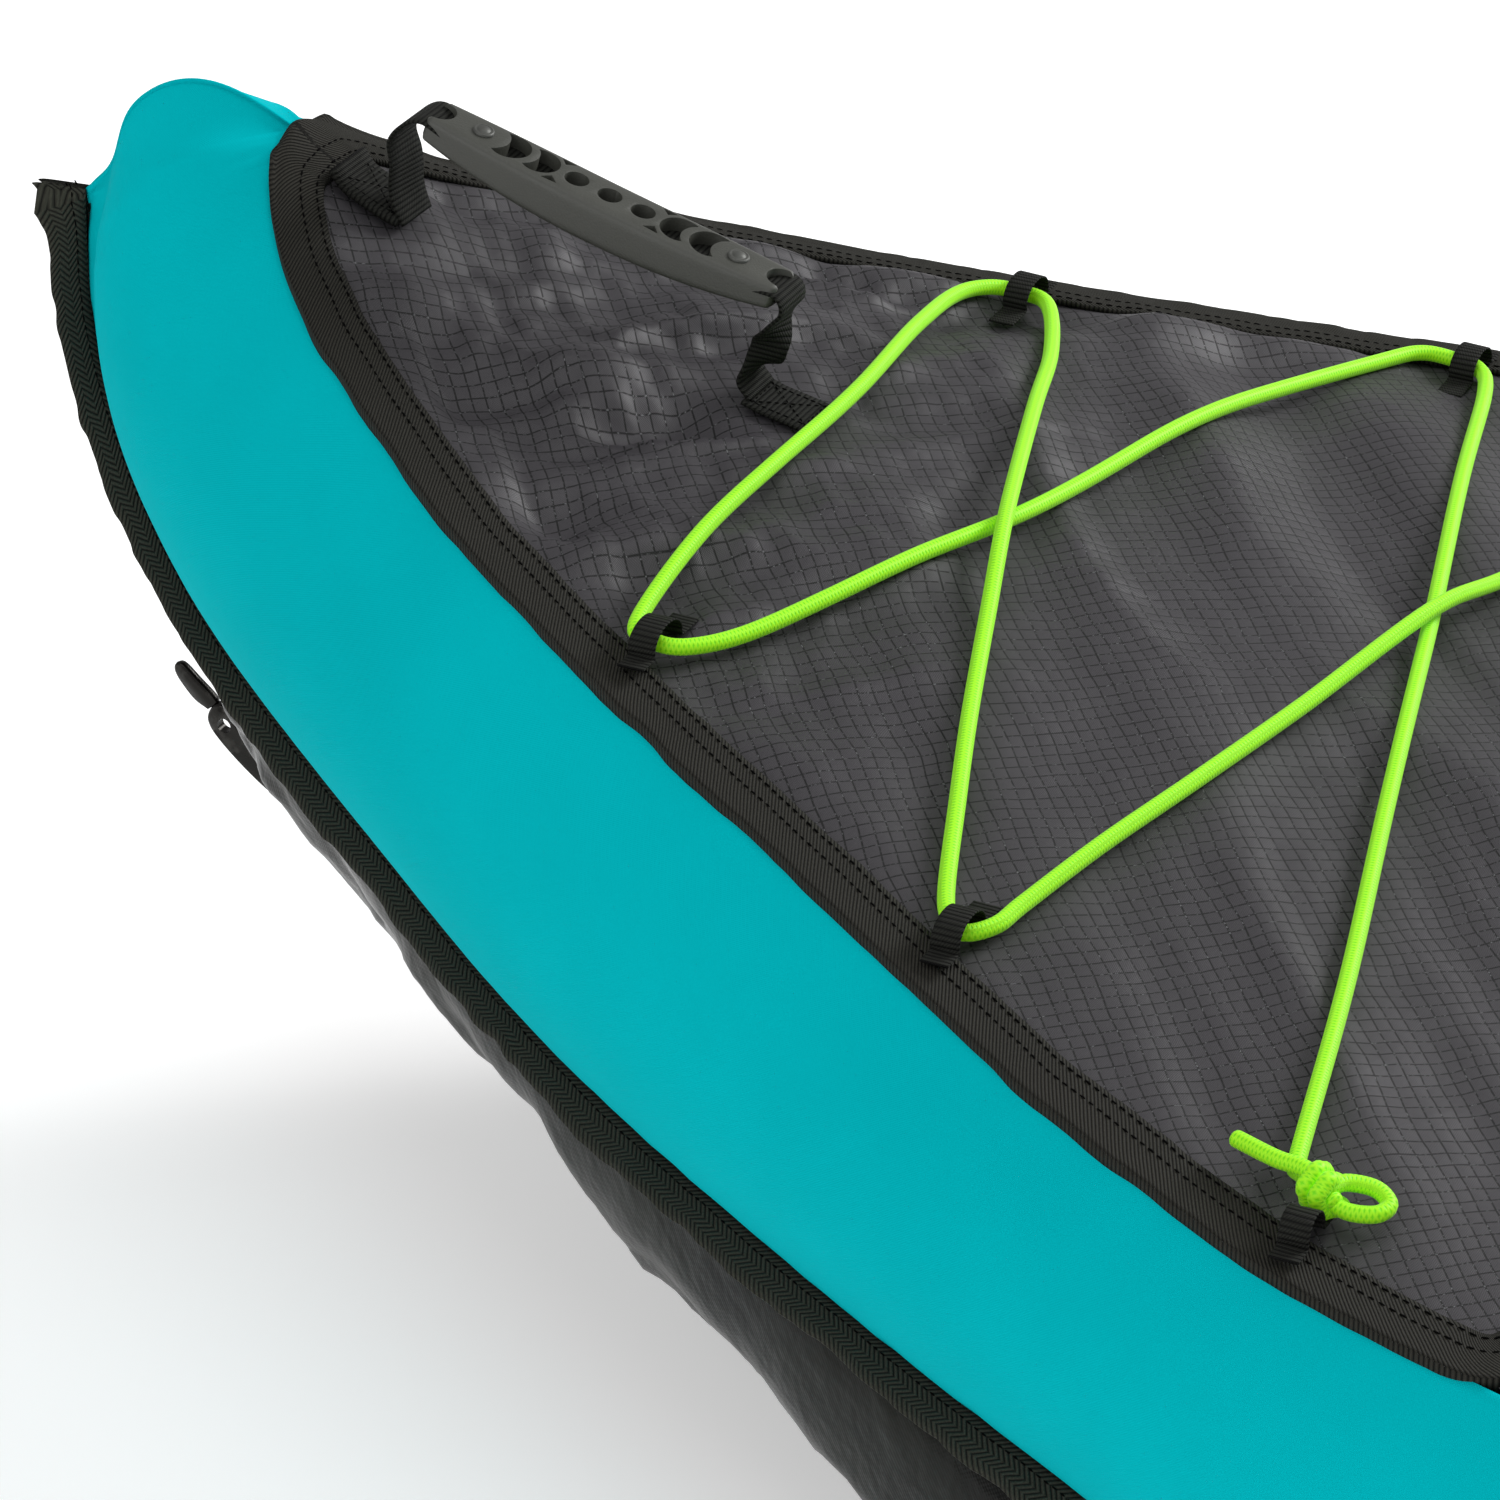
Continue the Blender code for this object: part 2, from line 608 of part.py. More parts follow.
def handle(prefix, end, look):
    front = Vector((GRIP_FRONT[0], 0.0, GRIP_FRONT[1]))
    rear = Vector((GRIP_REAR[0], 0.0, GRIP_REAR[1]))
    along = (rear - front).normalized()
    above = Vector((-along.z, 0.0, along.x))
    length = (rear - front).length
    sections = []
    steps = 14
    for step in range(steps + 1):
        share = 2 * step / steps - 1
        width = GRIP_HALF_WIDTH * (1 - 0.30 * abs(share) ** 2.2)
        depth = GRIP_HALF_DEPTH * (1 - 0.35 * abs(share) ** 2)
        sag = -GRIP_SAG * (1 - share**2)
        middle = front + along * length * step / steps + above * sag
        section = []
        for corner in range(10):
            angle = 2 * math.pi * (corner + 0.5) / 10
            across = math.copysign(abs(math.cos(angle)) ** 0.6, math.cos(angle)) * width
            rise = math.copysign(abs(math.sin(angle)) ** 0.6, math.sin(angle)) * depth
            section.append(placed(middle + above * rise + Vector((0, across, 0)), end))
        sections.append(section)
    grip = rings(prefix + "_handle_grip", sections, look["grip"])
    for share in GRIP_HOLES:
        centre = front + along * length * share
        tool = turned(
            "hole",
            ((0, -0.02), (GRIP_HOLE_RADIUS, -0.02), (GRIP_HOLE_RADIUS, 0.02), (0, 0.02)),
            placed(centre, end),
            placed(centre + above, end) - placed(centre, end),
            look["grip"],
            12,
        )
        cut(grip, tool)
    rivet_profile = ((0, 0.0), (0.0045, 0.0), (0.0045, 0.0012), (0.0028, 0.0021), (0, 0.0022))
    for tag, share in GRIP_RIVETS:
        sag = -GRIP_SAG * (1 - (2 * share - 1) ** 2)
        drop = GRIP_HALF_DEPTH * (1 - 0.35 * abs(2 * share - 1) ** 2)
        seat = front + along * length * share + above * (sag + drop + 0.0003)
        axis = placed(seat + above, end) - placed(seat, end)
        turned(f"{prefix}_handle_{tag}_rivet", rivet_profile, placed(seat, end), axis, look["steel"], 16)
    front_foot = Vector((HANDLE_FRONT[0], 0, deck_height(*HANDLE_FRONT) + HANDLE_FOOT_RISE))
    rear_foot = Vector((HANDLE_REAR[0], 0, deck_height(*HANDLE_REAR) + HANDLE_FOOT_RISE))
    route = [
        front_foot,
        front_foot + Vector((-0.004, 0, 0.012)),
        front + along * -0.006 + above * -0.004,
        front + along * 0.004 + above * -0.0085,
        front + along * 0.035 + above * -0.0145,
        front + along * length * 0.5 + above * -0.0168,
        rear + along * -0.035 + above * -0.0145,
        rear + along * -0.004 + above * -0.0085,
        rear + along * 0.005 + above * -0.006,
        rear_foot + Vector((0.006, 0, 0.022)),
        rear_foot,
    ]
    path = [placed(point, end) for point in route]
    strip(
        prefix + "_handle_webbing",
        path,
        [(0, 1, 0)] * len(path),
        WEBBING_WIDTH * 0.8,
        WEBBING_THICKNESS,
        look["tape"],
    )
    for tag, first, last in HANDLE_PATCHES:
        path = []
        for step in range(5):
            station = first + (last - first) * step / 4
            height = deck_height(station, 0.0) + GAP + WEBBING_THICKNESS / 2 + 0.0006
            path.append(placed((station, 0, height), end))
        strip(
            f"{prefix}_handle_{tag}_patch",
            path,
            [(0, 1, 0)] * 5,
            WEBBING_WIDTH,
            WEBBING_THICKNESS,
            look["tape"],
        )


# Deck bungee


def cord_point(station, across, lift=0.0):
    height = deck_height(station, across) + CORD_DIAMETER / 2 + 0.0006 + lift
    return Vector((HALF_LENGTH - station, across, height))


def deck_bungee(look):
    knots = [np.array(cord_point(*point)) for point in CORD_ROUTE]
    path = []
    for number in range(len(knots) - 1):
        path.append(knots[number])
        if np.linalg.norm(knots[number + 1] - knots[number]) > CORD_LONG_SPAN:
            path.append(fair(knots, number + 0.5))
    path.append(knots[-1])
    curve = bpy.data.curves.new("bow_bungee_cord", "CURVE")
    curve.dimensions = "3D"
    curve.bevel_depth = CORD_DIAMETER / 2
    curve.bevel_resolution = 2
    curve.use_fill_caps = True
    spline = curve.splines.new("POLY")
    spline.points.add(len(path) - 1)
    for point, place in zip(spline.points, path):
        point.co = (*place, 1)
    curve.materials.append(look["cord"])
    made = bpy.data.objects.new("bow_bungee_cord", curve)
    bpy.context.scene.collection.objects.link(made)
    for tag, side in (("port", 1), ("starboard", -1)):
        centre = cord_point(KNOT_PLACE[0], KNOT_PLACE[1] * side, 0.0065)
        profile = []
        for angle in range(0, 181, 30):
            turn = math.radians(angle)
            across = 0 if angle in (0, 180) else KNOT_RADIUS * math.sin(turn)
            profile.append((across, -KNOT_RADIUS * math.cos(turn)))
        turned("bungee_knot_" + tag, profile, centre, (0, 1, 0), look["cord"], 12)
    for number, (station, half) in enumerate(DECK_LOOPS, 1):
        for tag, side in (("port", 1), ("starboard", -1)):
            last = number == len(DECK_LOOPS)
            middle = half + (KNOT_LOOP_OFFSET if last else -0.0018)
            reach = KNOT_LOOP_REACH if last else LOOP_REACH
            base = deck_height(station, middle) + 0.0032
            path = []
            for angle in range(0, 181, 22):
                turn = math.radians(angle)
                across = middle + reach * math.cos(turn)
                path.append(
                    Vector((HALF_LENGTH - station, side * across, base + LOOP_HEIGHT * math.sin(turn)))
                )
            strip(
                f"bungee_loop_{tag}_{number}",
                path,
                [(1, 0, 0)] * len(path),
                LOOP_WIDTH,
                LOOP_THICKNESS,
                look["tape"],
            )


# Seat


def seat(look):
    block(
        "seat_cushion",
        (SEAT_REAR, -SEAT_HALF_WIDTH, SEAT_BASE),
        (SEAT_FRONT, SEAT_HALF_WIDTH, SEAT_TOP),
        look["cushion"],
        SEAT_ROUNDING,
    )
    hinge = Vector((SEAT_REAR + 0.02, 0, HINGE_HEIGHT))
    back = block(
        "seat_backrest",
        (SEAT_REAR - 0.022, -SEAT_HALF_WIDTH, HINGE_HEIGHT + 0.004),
        (SEAT_REAR + 0.028, SEAT_HALF_WIDTH, HINGE_HEIGHT + BACKREST_HEIGHT),
        look["cushion"],
        SEAT_ROUNDING,
        Matrix.Rotation(math.radians(BACKREST_LEAN), 4, "Y"),
        hinge,
    )
    set_origin(back, hinge)
    for tag, side in (("port", 1), ("starboard", -1)):
        start = Vector((SEAT_REAR - 0.025, side * (SEAT_HALF_WIDTH + 0.0035), STRAP_TOP))
        anchor = Vector((STRAP_ANCHOR[0], side * STRAP_ANCHOR[1], STRAP_ANCHOR[2]))
        path = []
        for step in range(9):
            share = step / 8
            point = start.lerp(anchor, share)
            point.z -= STRAP_SLACK * 4 * share * (1 - share)
            path.append(point)
        strip(f"{tag}_seat_strap", path, [(0.32, 0, 1)] * 9, WEBBING_WIDTH, WEBBING_THICKNESS, look["tape"])
        (first, low), (last, high) = BUCKLE
        block(
            f"{tag}_strap_buckle",
            (first, anchor.y - BUCKLE_HALF_THICKNESS, low),
            (last, anchor.y + BUCKLE_HALF_THICKNESS, high),
            look["plastic"],
            0.0025,
        )


# Valves


def valve_places():
    """Names and seats of the valves: one on top of each side tube and one on the floor."""
    centre, radius = tube_circle(row_at_station(VALVE_STATION))
    top = centre[2] + radius + 0.0026  # clear of the lining, which bows a little
    back = VALVE_STATION - HALF_LENGTH
    return (
        ("port_side", (back, centre[1], top)),
        ("starboard_side", (back, -centre[1], top)),
        ("floor", FLOOR_VALVE),
    )


def valves(look):
    for name, place in valve_places():
        for tag, profile, finish_name in (
            ("valve_body", BODY_PROFILE, "plastic"),
            ("valve_plunger", PLUNGER_PROFILE, "steel"),
        ):
            turned(f"{name}_{tag}", profile, place, (0, 0, 1), look[finish_name])
        cap = turned(f"{name}_valve_cap", CAP_PROFILE, place, (0, 0, 1), look["plastic"])
        set_origin(cap, (place[0] - 0.021, place[1], place[2] + 0.013))


# Skeg and drain, under the stern


def on_keel(station, drop=0.0):
    low, high = 0.0, float(LAST_ROW)
    for _ in range(40):
        middle = (low + high) / 2
        if fair(KEEL, middle)[0] < station:
            low = middle
        else:
            high = middle
    return placed((station, 0.0, fair(KEEL, low)[1] - drop), -1)


def skeg(look):
    front = on_keel(SKEG_FRONT, SKEG_DROP)
    rear = on_keel(SKEG_REAR, SKEG_DROP)
    along = (rear - front).normalized()
    below = Vector((along.z, 0, -along.x))
    if below.z > 0:
        below = -below
    length = (rear - front).length

    def bar(name, first, last, top, bottom, half_width, finish_look):
        corners = []
        for share in (first, last):
            for depth in (top, bottom):
                for side in (-1, 1):
                    corners.append(
                        front + along * length * share + below * depth + Vector((0, side * half_width, 0))
                    )
        faces = [(0, 1, 3, 2), (4, 6, 7, 5), (0, 4, 5, 1), (2, 3, 7, 6), (0, 2, 6, 4), (1, 5, 7, 3)]
        return finish(name, corners, faces, finish_look)

    base = bar("skeg_box", -0.02, 1.02, 0.0065, 0.0145, 0.014, look["plastic"])
    cut(base, bar("slot", -0.1, 0.93, 0.0095, 0.02, 0.0032, look["plastic"]))
    outline = [(0.02, 0.0105), (0.60, 0.0105), (0.88, 0.0105), (0.90, 0.040), (0.86, 0.052), (0.70, 0.050)]
    outline += [(0.45, 0.036), (0.25, 0.024)]
    sections = []
    for side in (-0.0026, 0.0026):
        edge = front + Vector((0, side, 0))
        sections.append([edge + along * length * share + below * depth for share, depth in outline])
    rings("skeg_fin", sections, look["plastic"])
    pin_place = front + along * length * -0.055 + below * 0.0150
    turned(
        "skeg_pin",
        ((0, -0.016), (0.0025, -0.016), (0.0025, 0.010), (0.0045, 0.010), (0.0045, 0.016), (0, 0.016)),
        pin_place,
        (0, 1, 0),
        look["steel"],
        12,
    )
    plug = on_keel(DRAIN_STATION, DRAIN_DROP)
    turned(
        "drain_plug",
        ((0, 0.0), (0.013, 0.0), (0.016, 0.0035), (0.016, 0.0055), (0, 0.0055)),
        plug,
        (0, 0, 1),
        look["plastic"],
    )


# Tow fitting, under the bow


def tow_fitting(look):
    ring_centre = placed(RING_PLACE)
    tab_top = placed((0.197, 0.0, 0.1215))
    path = [placed((0.226, 0.0, 0.1095)), tab_top, ring_centre + Vector((-0.0135, 0, 0.0))]
    strip("tow_tab", path, [(0, 1, 0)] * 3, 0.020, 0.0022, look["tape"])
    sections = []
    for step in range(20):
        angle = 2 * math.pi * step / 20
        out = Vector((math.cos(angle), 0, math.sin(angle)))
        section = []
        for corner in range(8):
            turn = 2 * math.pi * corner / 8
            reach = out * (RING_RADIUS + RING_WIRE * math.cos(turn))
            section.append(ring_centre + reach + Vector((0, RING_WIRE * math.sin(turn), 0)))
        sections.append(section)
    ring = rings("tow_ring", sections, look["steel"], closed=True)
    set_origin(ring, ring_centre)
    tip = placed(HOOK_TIP)
    along = (tip - ring_centre).normalized()
    above = Vector((-along.z, 0, along.x))
    start = ring_centre + along * 0.0112
    outline = ((0.0, -0.004), (0.004, -0.007), (0.030, -0.0095), (0.046, -0.009), (0.052, -0.005))
    outline += ((0.052, 0.003),)
    outline += ((0.046, 0.006), (0.030, 0.0085), (0.004, 0.0065), (0.0, 0.004))
    sections = []
    for side in (-HOOK_HALF_THICKNESS, HOOK_HALF_THICKNESS):
        sections.append([start + along * a + above * b + Vector((0, side, 0)) for a, b in outline])
    body = rings("snap_hook_body", sections, look["steel"])
    tool = turned(
        "eye",
        ((0, -0.01), (0.0036, -0.01), (0.0036, 0.01), (0, 0.01)),
        start + along * 0.043 + above * -0.002,
        (0, 1, 0),
        look["steel"],
        14,
    )
    cut(body, tool)
    set_origin(body, ring_centre)
    pivot = start + along * 0.0535
    outline = ((0.0, -0.004), (0.008, -0.0055), (0.020, -0.0035), (0.0225, 0.0), (0.020, 0.0035))
    outline += ((0.0, 0.0035),)
    sections = []
    for side in (-GATE_HALF_THICKNESS, GATE_HALF_THICKNESS):
        sections.append([pivot + along * a + above * b + Vector((0, side, 0)) for a, b in outline])
    gate = rings("snap_hook_gate", sections, look["steel"])
    set_origin(gate, pivot)


def main():
    clear_scene()
    look = finishes()
    side_covers(look["teal"])
    hull_bottom(look["pvc"])
    side_chambers(look["bladder"])
    inner_walls(look["teal"])
    floor_chamber(look["bladder"])
    decks(look["ripstop"])
    deck_bindings(look["tape"])
    seam_bindings(look["tape"])
    handle("bow", 1, look)
    handle("stern", -1, look)
    deck_bungee(look)
    seat(look)
    valves(look)
    skeg(look)
    tow_fitting(look)


main()
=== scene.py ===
import math

import bmesh
import bpy
import numpy as np
from mathutils import Matrix, Vector


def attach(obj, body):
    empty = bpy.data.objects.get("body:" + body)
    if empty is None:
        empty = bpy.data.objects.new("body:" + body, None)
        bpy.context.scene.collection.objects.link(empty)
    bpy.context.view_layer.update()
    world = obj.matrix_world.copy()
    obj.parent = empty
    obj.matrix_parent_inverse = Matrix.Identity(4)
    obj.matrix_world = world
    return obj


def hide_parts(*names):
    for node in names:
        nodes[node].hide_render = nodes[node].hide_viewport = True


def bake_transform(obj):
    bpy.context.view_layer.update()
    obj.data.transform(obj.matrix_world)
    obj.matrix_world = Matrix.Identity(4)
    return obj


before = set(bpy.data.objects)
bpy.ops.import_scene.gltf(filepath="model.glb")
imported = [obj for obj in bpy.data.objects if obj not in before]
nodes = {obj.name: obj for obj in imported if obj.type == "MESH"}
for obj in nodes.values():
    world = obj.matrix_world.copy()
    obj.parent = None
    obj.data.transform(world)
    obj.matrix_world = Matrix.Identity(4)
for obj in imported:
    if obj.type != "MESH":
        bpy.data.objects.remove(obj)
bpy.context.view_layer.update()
view = bpy.context.scene.view_settings
view.view_transform = "Standard"

# Lines of one half of the boat: station from the tip, half breadth, height. The keel has no half breadth.
halfLength = 1.60
deckSeam = np.array((
    (0.168, 0.002, 0.428), (0.170, 0.020, 0.419), (0.182, 0.041, 0.405), (0.210, 0.069, 0.386),
    (0.255, 0.102, 0.368), (0.330, 0.150, 0.344), (0.420, 0.198, 0.323), (0.520, 0.248, 0.303),
    (0.650, 0.312, 0.278), (0.800, 0.356, 0.256), (1.100, 0.376, 0.228), (1.600, 0.376, 0.215),
))
bottomSeam = np.array((
    (0.065, 0.002, 0.380), (0.070, 0.008, 0.325), (0.090, 0.019, 0.279), (0.124, 0.038, 0.2425),
    (0.175, 0.067, 0.2125), (0.270, 0.118, 0.1795), (0.375, 0.181, 0.156), (0.490, 0.240, 0.1425),
    (0.635, 0.308, 0.133), (0.795, 0.358, 0.110), (1.100, 0.388, 0.070), (1.600, 0.390, 0.055),
))
keelLine = np.array((
    (0.067, 0.374), (0.072, 0.315), (0.091, 0.252), (0.120, 0.195), (0.165, 0.150), (0.250, 0.104),
    (0.355, 0.066), (0.475, 0.036), (0.620, 0.013), (0.790, 0.003), (1.100, 0.000), (1.600, 0.000),
))
lastRow = len(deckSeam) - 1
lines = {
    "coverBulge": 0.22,
    "chine": ((0.0, 5.8, 7.0, 8.0, 12.0), (3.2, 3.3, 4.8, 8.0, 8.0)),   # squareness of the bottom, by row
    "flatFloor": 0.002,
    "deckCrown": 0.021,
    "deckEnd": 0.83,
}


def fair(table, at):  # smooth curve through a table's rows, at fractional row numbers
    at = np.asarray(at, float)
    row = np.clip(at.astype(int), 0, len(table) - 2)
    t = (at - row)[..., None]
    first, last = table[row], table[row + 1]
    before = table[np.maximum(row - 1, 0)]
    after = table[np.minimum(row + 2, len(table) - 1)]
    start = (last - before) / np.where(row > 0, 2, 1)[..., None]
    end = (after - first) / np.where(row + 2 < len(table), 2, 1)[..., None]
    return (
        (2 * t**3 - 3 * t**2 + 1) * first
        + (t**3 - 2 * t**2 + t) * start
        + (3 * t**2 - 2 * t**3) * last
        + (t**3 - t**2) * end
    )


finelySpaced = np.linspace(0, lastRow, 4001)
seamStations = fair(deckSeam, finelySpaced)[:, 0]


def rowAt(station):
    return np.interp(station, seamStations, finelySpaced)


def deckHeight(station, across):
    seam = fair(deckSeam, rowAt(station))
    half = seam[..., 1]
    crown = lines["deckCrown"] * (1 - np.exp(-half / 0.06))
    share = np.minimum(np.abs(across) / half, 1.0)
    return seam[..., 2] + crown * (1 - share**2)


def sideFrame(at):
    at = np.asarray(at, float)
    top, low = fair(deckSeam, at), fair(bottomSeam, at)
    ahead, behind = np.minimum(at + 0.05, lastRow), np.maximum(at - 0.05, 0)
    run = fair(deckSeam, ahead) - fair(deckSeam, behind) + fair(bottomSeam, ahead) - fair(bottomSeam, behind)
    run = np.where((at < 0.05)[..., None], np.array([0.0, 1.0, 0.0]), run)
    out = np.cross(top - low, run)
    return top, low, out / np.linalg.norm(out, axis=-1, keepdims=True)


def sidePoint(at, up):  # outer face of the side cover: up is 0 at the bottom seam, 1 at the deck seam
    top, low, out = sideFrame(at)
    height = np.linalg.norm(top - low, axis=-1, keepdims=True)
    up = np.asarray(up, float)[..., None]
    return low + up * (top - low) + out * lines["coverBulge"] * height * 4 * up * (1 - up)


def tubeCircle(at):
    top, low, out = sideFrame(at)
    half = np.linalg.norm(top - low, axis=-1) / 2
    bulge = lines["coverBulge"] * 2 * half
    radius = (half**2 + bulge**2) / (2 * bulge)
    return (top + low) / 2 + out * (bulge - radius)[..., None], radius


def hullPoint(at, turn):  # outer face of the hull: turn runs from -1 at one seam to 1 at the other
    seam, keel = fair(bottomSeam, at), fair(keelLine, at)
    angle = np.abs(turn) * math.pi / 2
    power = np.interp(at, *lines["chine"])
    across = np.sin(angle) ** (2 / power)
    down = np.cos(angle) ** (2 / power)
    station = keel[..., 0] + (seam[..., 0] - keel[..., 0]) * (1 - down)
    height = seam[..., 2] - (seam[..., 2] - keel[..., 1]) * down
    height = np.where(height < lines["flatFloor"], 0.0, height)
    return np.stack([station, np.copysign(seam[..., 1] * across, turn), height], -1)


def placed(points, end=1):  # station, half breadth, height to x, y, z, at the bow (1) or stern (-1)
    points = np.asarray(points, float)
    return np.stack([end * (halfLength - points[..., 0]), points[..., 1], points[..., 2]], -1)


def wholeLength(halfRows):  # rows from bow tip to stern tip, with the end each belongs to
    rows = np.concatenate([halfRows, halfRows[-2::-1]])
    ends = np.concatenate([np.ones(len(halfRows)), -np.ones(len(halfRows) - 1)])
    return rows, ends


# Material making

print("materials")


def hexColor(code):  # sRGB hex to linear
    parts = [int(code[n:n + 2], 16) / 255 for n in (1, 3, 5)]
    return tuple(p / 12.92 if p <= 0.04045 else ((p + 0.055) / 1.055) ** 2.4 for p in parts) + (1.0,)


def add(tree, kind, settings=None, **links):
    node = tree.nodes.new("ShaderNode" + kind)
    for key, value in (settings or {}).items():
        if isinstance(key, int) or key in node.inputs:
            node.inputs[key].default_value = value
        else:
            setattr(node, key, value)
    for key, socket in links.items():
        target = int(key[1:]) if key[0] == "i" and key[1:].isdigit() else key.replace("_", " ")
        tree.links.new(socket, node.inputs[target])
    return node


def newMaterial(name, settings):
    made = bpy.data.materials.new(name)
    made.use_nodes = True
    tree = made.node_tree
    shader = tree.nodes["Principled BSDF"]
    for key, value in settings.items():
        shader.inputs[key].default_value = value
    return made, tree, shader


def mathNode(tree, operation, first, second=None):
    node = add(tree, "Math", {"operation": operation})
    for number, value in enumerate((first, second)):
        if value is None:
            continue
        if isinstance(value, (int, float)):
            node.inputs[number].default_value = value
        else:
            tree.links.new(value, node.inputs[number])
    return node.outputs[0]


def uvAxes(tree, turn=0.0):
    source = add(tree, "TexCoord").outputs["UV"]
    if turn:
        mapping = add(tree, "Mapping", {"Rotation": (0, 0, turn)}, Vector=source)
        source = mapping.outputs["Vector"]
    axes = add(tree, "SeparateXYZ", Vector=source)
    return source, axes.outputs["X"], axes.outputs["Y"]


def ridge(tree, along, pitch, sharpness=1.0):  # 0 to 1 rounded ridges, one each pitch
    turn = mathNode(tree, "MULTIPLY", along, math.pi / pitch)
    wave = mathNode(tree, "ABSOLUTE", mathNode(tree, "SINE", turn))
    return mathNode(tree, "POWER", wave, sharpness)


def plainWeave(tree, u, v, pitch):
    first = mathNode(tree, "SINE", mathNode(tree, "MULTIPLY", u, 2 * math.pi / pitch))
    second = mathNode(tree, "SINE", mathNode(tree, "MULTIPLY", v, 2 * math.pi / pitch))
    return mathNode(tree, "MULTIPLY_ADD", mathNode(tree, "MULTIPLY", first, second), 0.5)


def mixColor(tree, factor, first, second):
    mix = add(tree, "Mix", {"data_type": "RGBA"})
    mix.inputs[6].default_value = first
    mix.inputs[7].default_value = second
    tree.links.new(factor, mix.inputs[0])
    return mix.outputs[2]


def paint(tree, shader, factor, dark, light):
    tree.links.new(mixColor(tree, factor, hexColor(dark), hexColor(light)), shader.inputs["Base Color"])


def spread(tree, value, low, high, toLow=0.0, toHigh=1.0):
    node = add(tree, "MapRange", {1: low, 2: high, 3: toLow, 4: toHigh}, i0=value)
    return node.outputs[0]


def bumped(tree, shader, height, distance, strength=1.0, under=None):
    bump = add(tree, "Bump", {"Strength": strength, "Distance": distance}, Height=height)
    if under is not None:
        tree.links.new(under, bump.inputs["Normal"])
    tree.links.new(bump.outputs[0], shader.inputs["Normal"])
    return bump.outputs[0]


def cloudy(tree, source, scale, detail=3.0, rough=0.55):
    settings = {"Scale": scale, "Detail": detail, "Roughness": rough}
    return add(tree, "TexNoise", settings, Vector=source).outputs[0]


def tealNylon():  # dyed oxford nylon, PU backed: flat even colour with a fine plain weave
    cloth = {"weave": 0.0011, "light": "#00b8c1", "deep": "#00adb6"}
    made, tree, shader = newMaterial("tealNylonOxford", {"Roughness": 0.9, "Specular IOR Level": 0.02})
    source, u, v = uvAxes(tree)
    weave = plainWeave(tree, u, v, cloth["weave"])
    patch = cloudy(tree, add(tree, "TexCoord").outputs["Object"], 9.0)
    tone = mathNode(tree, "MULTIPLY", weave, 0.35)
    tone = mathNode(tree, "ADD", tone, spread(tree, patch, 0.3, 0.7, 0.0, 0.65))
    color = mixColor(tree, tone, hexColor(cloth["deep"]), hexColor(cloth["light"]))
    tree.links.new(color, shader.inputs["Base Color"])
    soft = bumped(tree, shader, cloudy(tree, source, 55.0, 2.0), 0.0006, 0.35)
    bumped(tree, shader, weave, 0.00022, 0.5, soft)
    return made


def ripstopNylon():  # thin calendered nylon: grey-violet sheen, darker reinforcing threads in 6 mm squares
    cloth = {
        "across": 0.0057,
        "along": 0.0059,
        "weave": 0.0009,
        "turn": math.radians(43),
        "ground": "#464447",
        "thread": "#060607",
    }
    made, tree, shader = newMaterial("ripstopNylon", {"Roughness": 0.44, "Specular IOR Level": 0.36})
    source, u, v = uvAxes(tree, cloth["turn"])
    wobble = mathNode(tree, "SUBTRACT", cloudy(tree, source, 14.0, 2.0), 0.5)
    wobble = mathNode(tree, "MULTIPLY", wobble, 0.010)
    u, v = mathNode(tree, "ADD", u, wobble), mathNode(tree, "ADD", v, wobble)
    gridU, gridV = ridge(tree, u, cloth["across"]), ridge(tree, v, cloth["along"])
    lineU = spread(tree, gridU, 0.11, 0.28, 1.0, 0.0)
    lineV = spread(tree, gridV, 0.09, 0.25, 1.0, 0.0)
    threads = mathNode(tree, "MAXIMUM", lineU, lineV)
    weave = plainWeave(tree, u, v, cloth["weave"])
    fine = cloudy(tree, source, 900.0, 2.0)
    # painted highlights: pale glints painted at random spots along the dark threads
    paintedGlint = spread(tree, mathNode(tree, "MULTIPLY", fine, threads), 0.56, 0.66)
    woven = mathNode(tree, "MULTIPLY", weave, 0.5)
    woven = mathNode(tree, "ADD", woven, mathNode(tree, "MULTIPLY", fine, 0.4))
    ground = mixColor(tree, woven, hexColor("#2a282c"), hexColor(cloth["ground"]))
    color = add(tree, "Mix", {"data_type": "RGBA"})
    color.inputs[7].default_value = hexColor(cloth["thread"])
    tree.links.new(threads, color.inputs[0])
    tree.links.new(ground, color.inputs[6])
    # the painted thread highlights lighten the base colour to a pale grey (#636466)
    paintedGlintMix = add(tree, "Mix", {"data_type": "RGBA"})
    paintedGlintMix.inputs[7].default_value = hexColor("#636466")
    tree.links.new(paintedGlint, paintedGlintMix.inputs[0])
    tree.links.new(color.outputs[2], paintedGlintMix.inputs[6])
    tree.links.new(paintedGlintMix.outputs[2], shader.inputs["Base Color"])
    tree.links.new(spread(tree, threads, 0.0, 1.0, 0.44, 0.7), shader.inputs["Roughness"])
    puff = mathNode(tree, "MULTIPLY", gridU, gridV)
    soft = bumped(tree, shader, puff, 0.0003, 0.3)
    bumped(tree, shader, weave, 0.00015, 0.5, soft)
    return made


def herringbone(name, dark, light, pitch, width, rough=0.72):  # polyester tape: slanted ribs in rows
    made, tree, shader = newMaterial(name, {"Roughness": rough, "Specular IOR Level": 0.14})
    source, u, v = uvAxes(tree)
    fold = mathNode(tree, "PINGPONG", v, width / 2)
    slant = mathNode(tree, "ADD", u, mathNode(tree, "MULTIPLY", fold, 1.3))
    ribs = ridge(tree, slant, pitch, 0.8)
    fuzz = cloudy(tree, source, 1500.0, 2.0)
    height = mathNode(tree, "ADD", ribs, mathNode(tree, "MULTIPLY", fuzz, 0.35))
    tone = mathNode(tree, "MULTIPLY", ribs, spread(tree, fuzz, 0.3, 0.7, 0.5, 1.0))
    paint(tree, shader, tone, dark, light)
    bumped(tree, shader, height, 0.0006, 1.0)
    return made


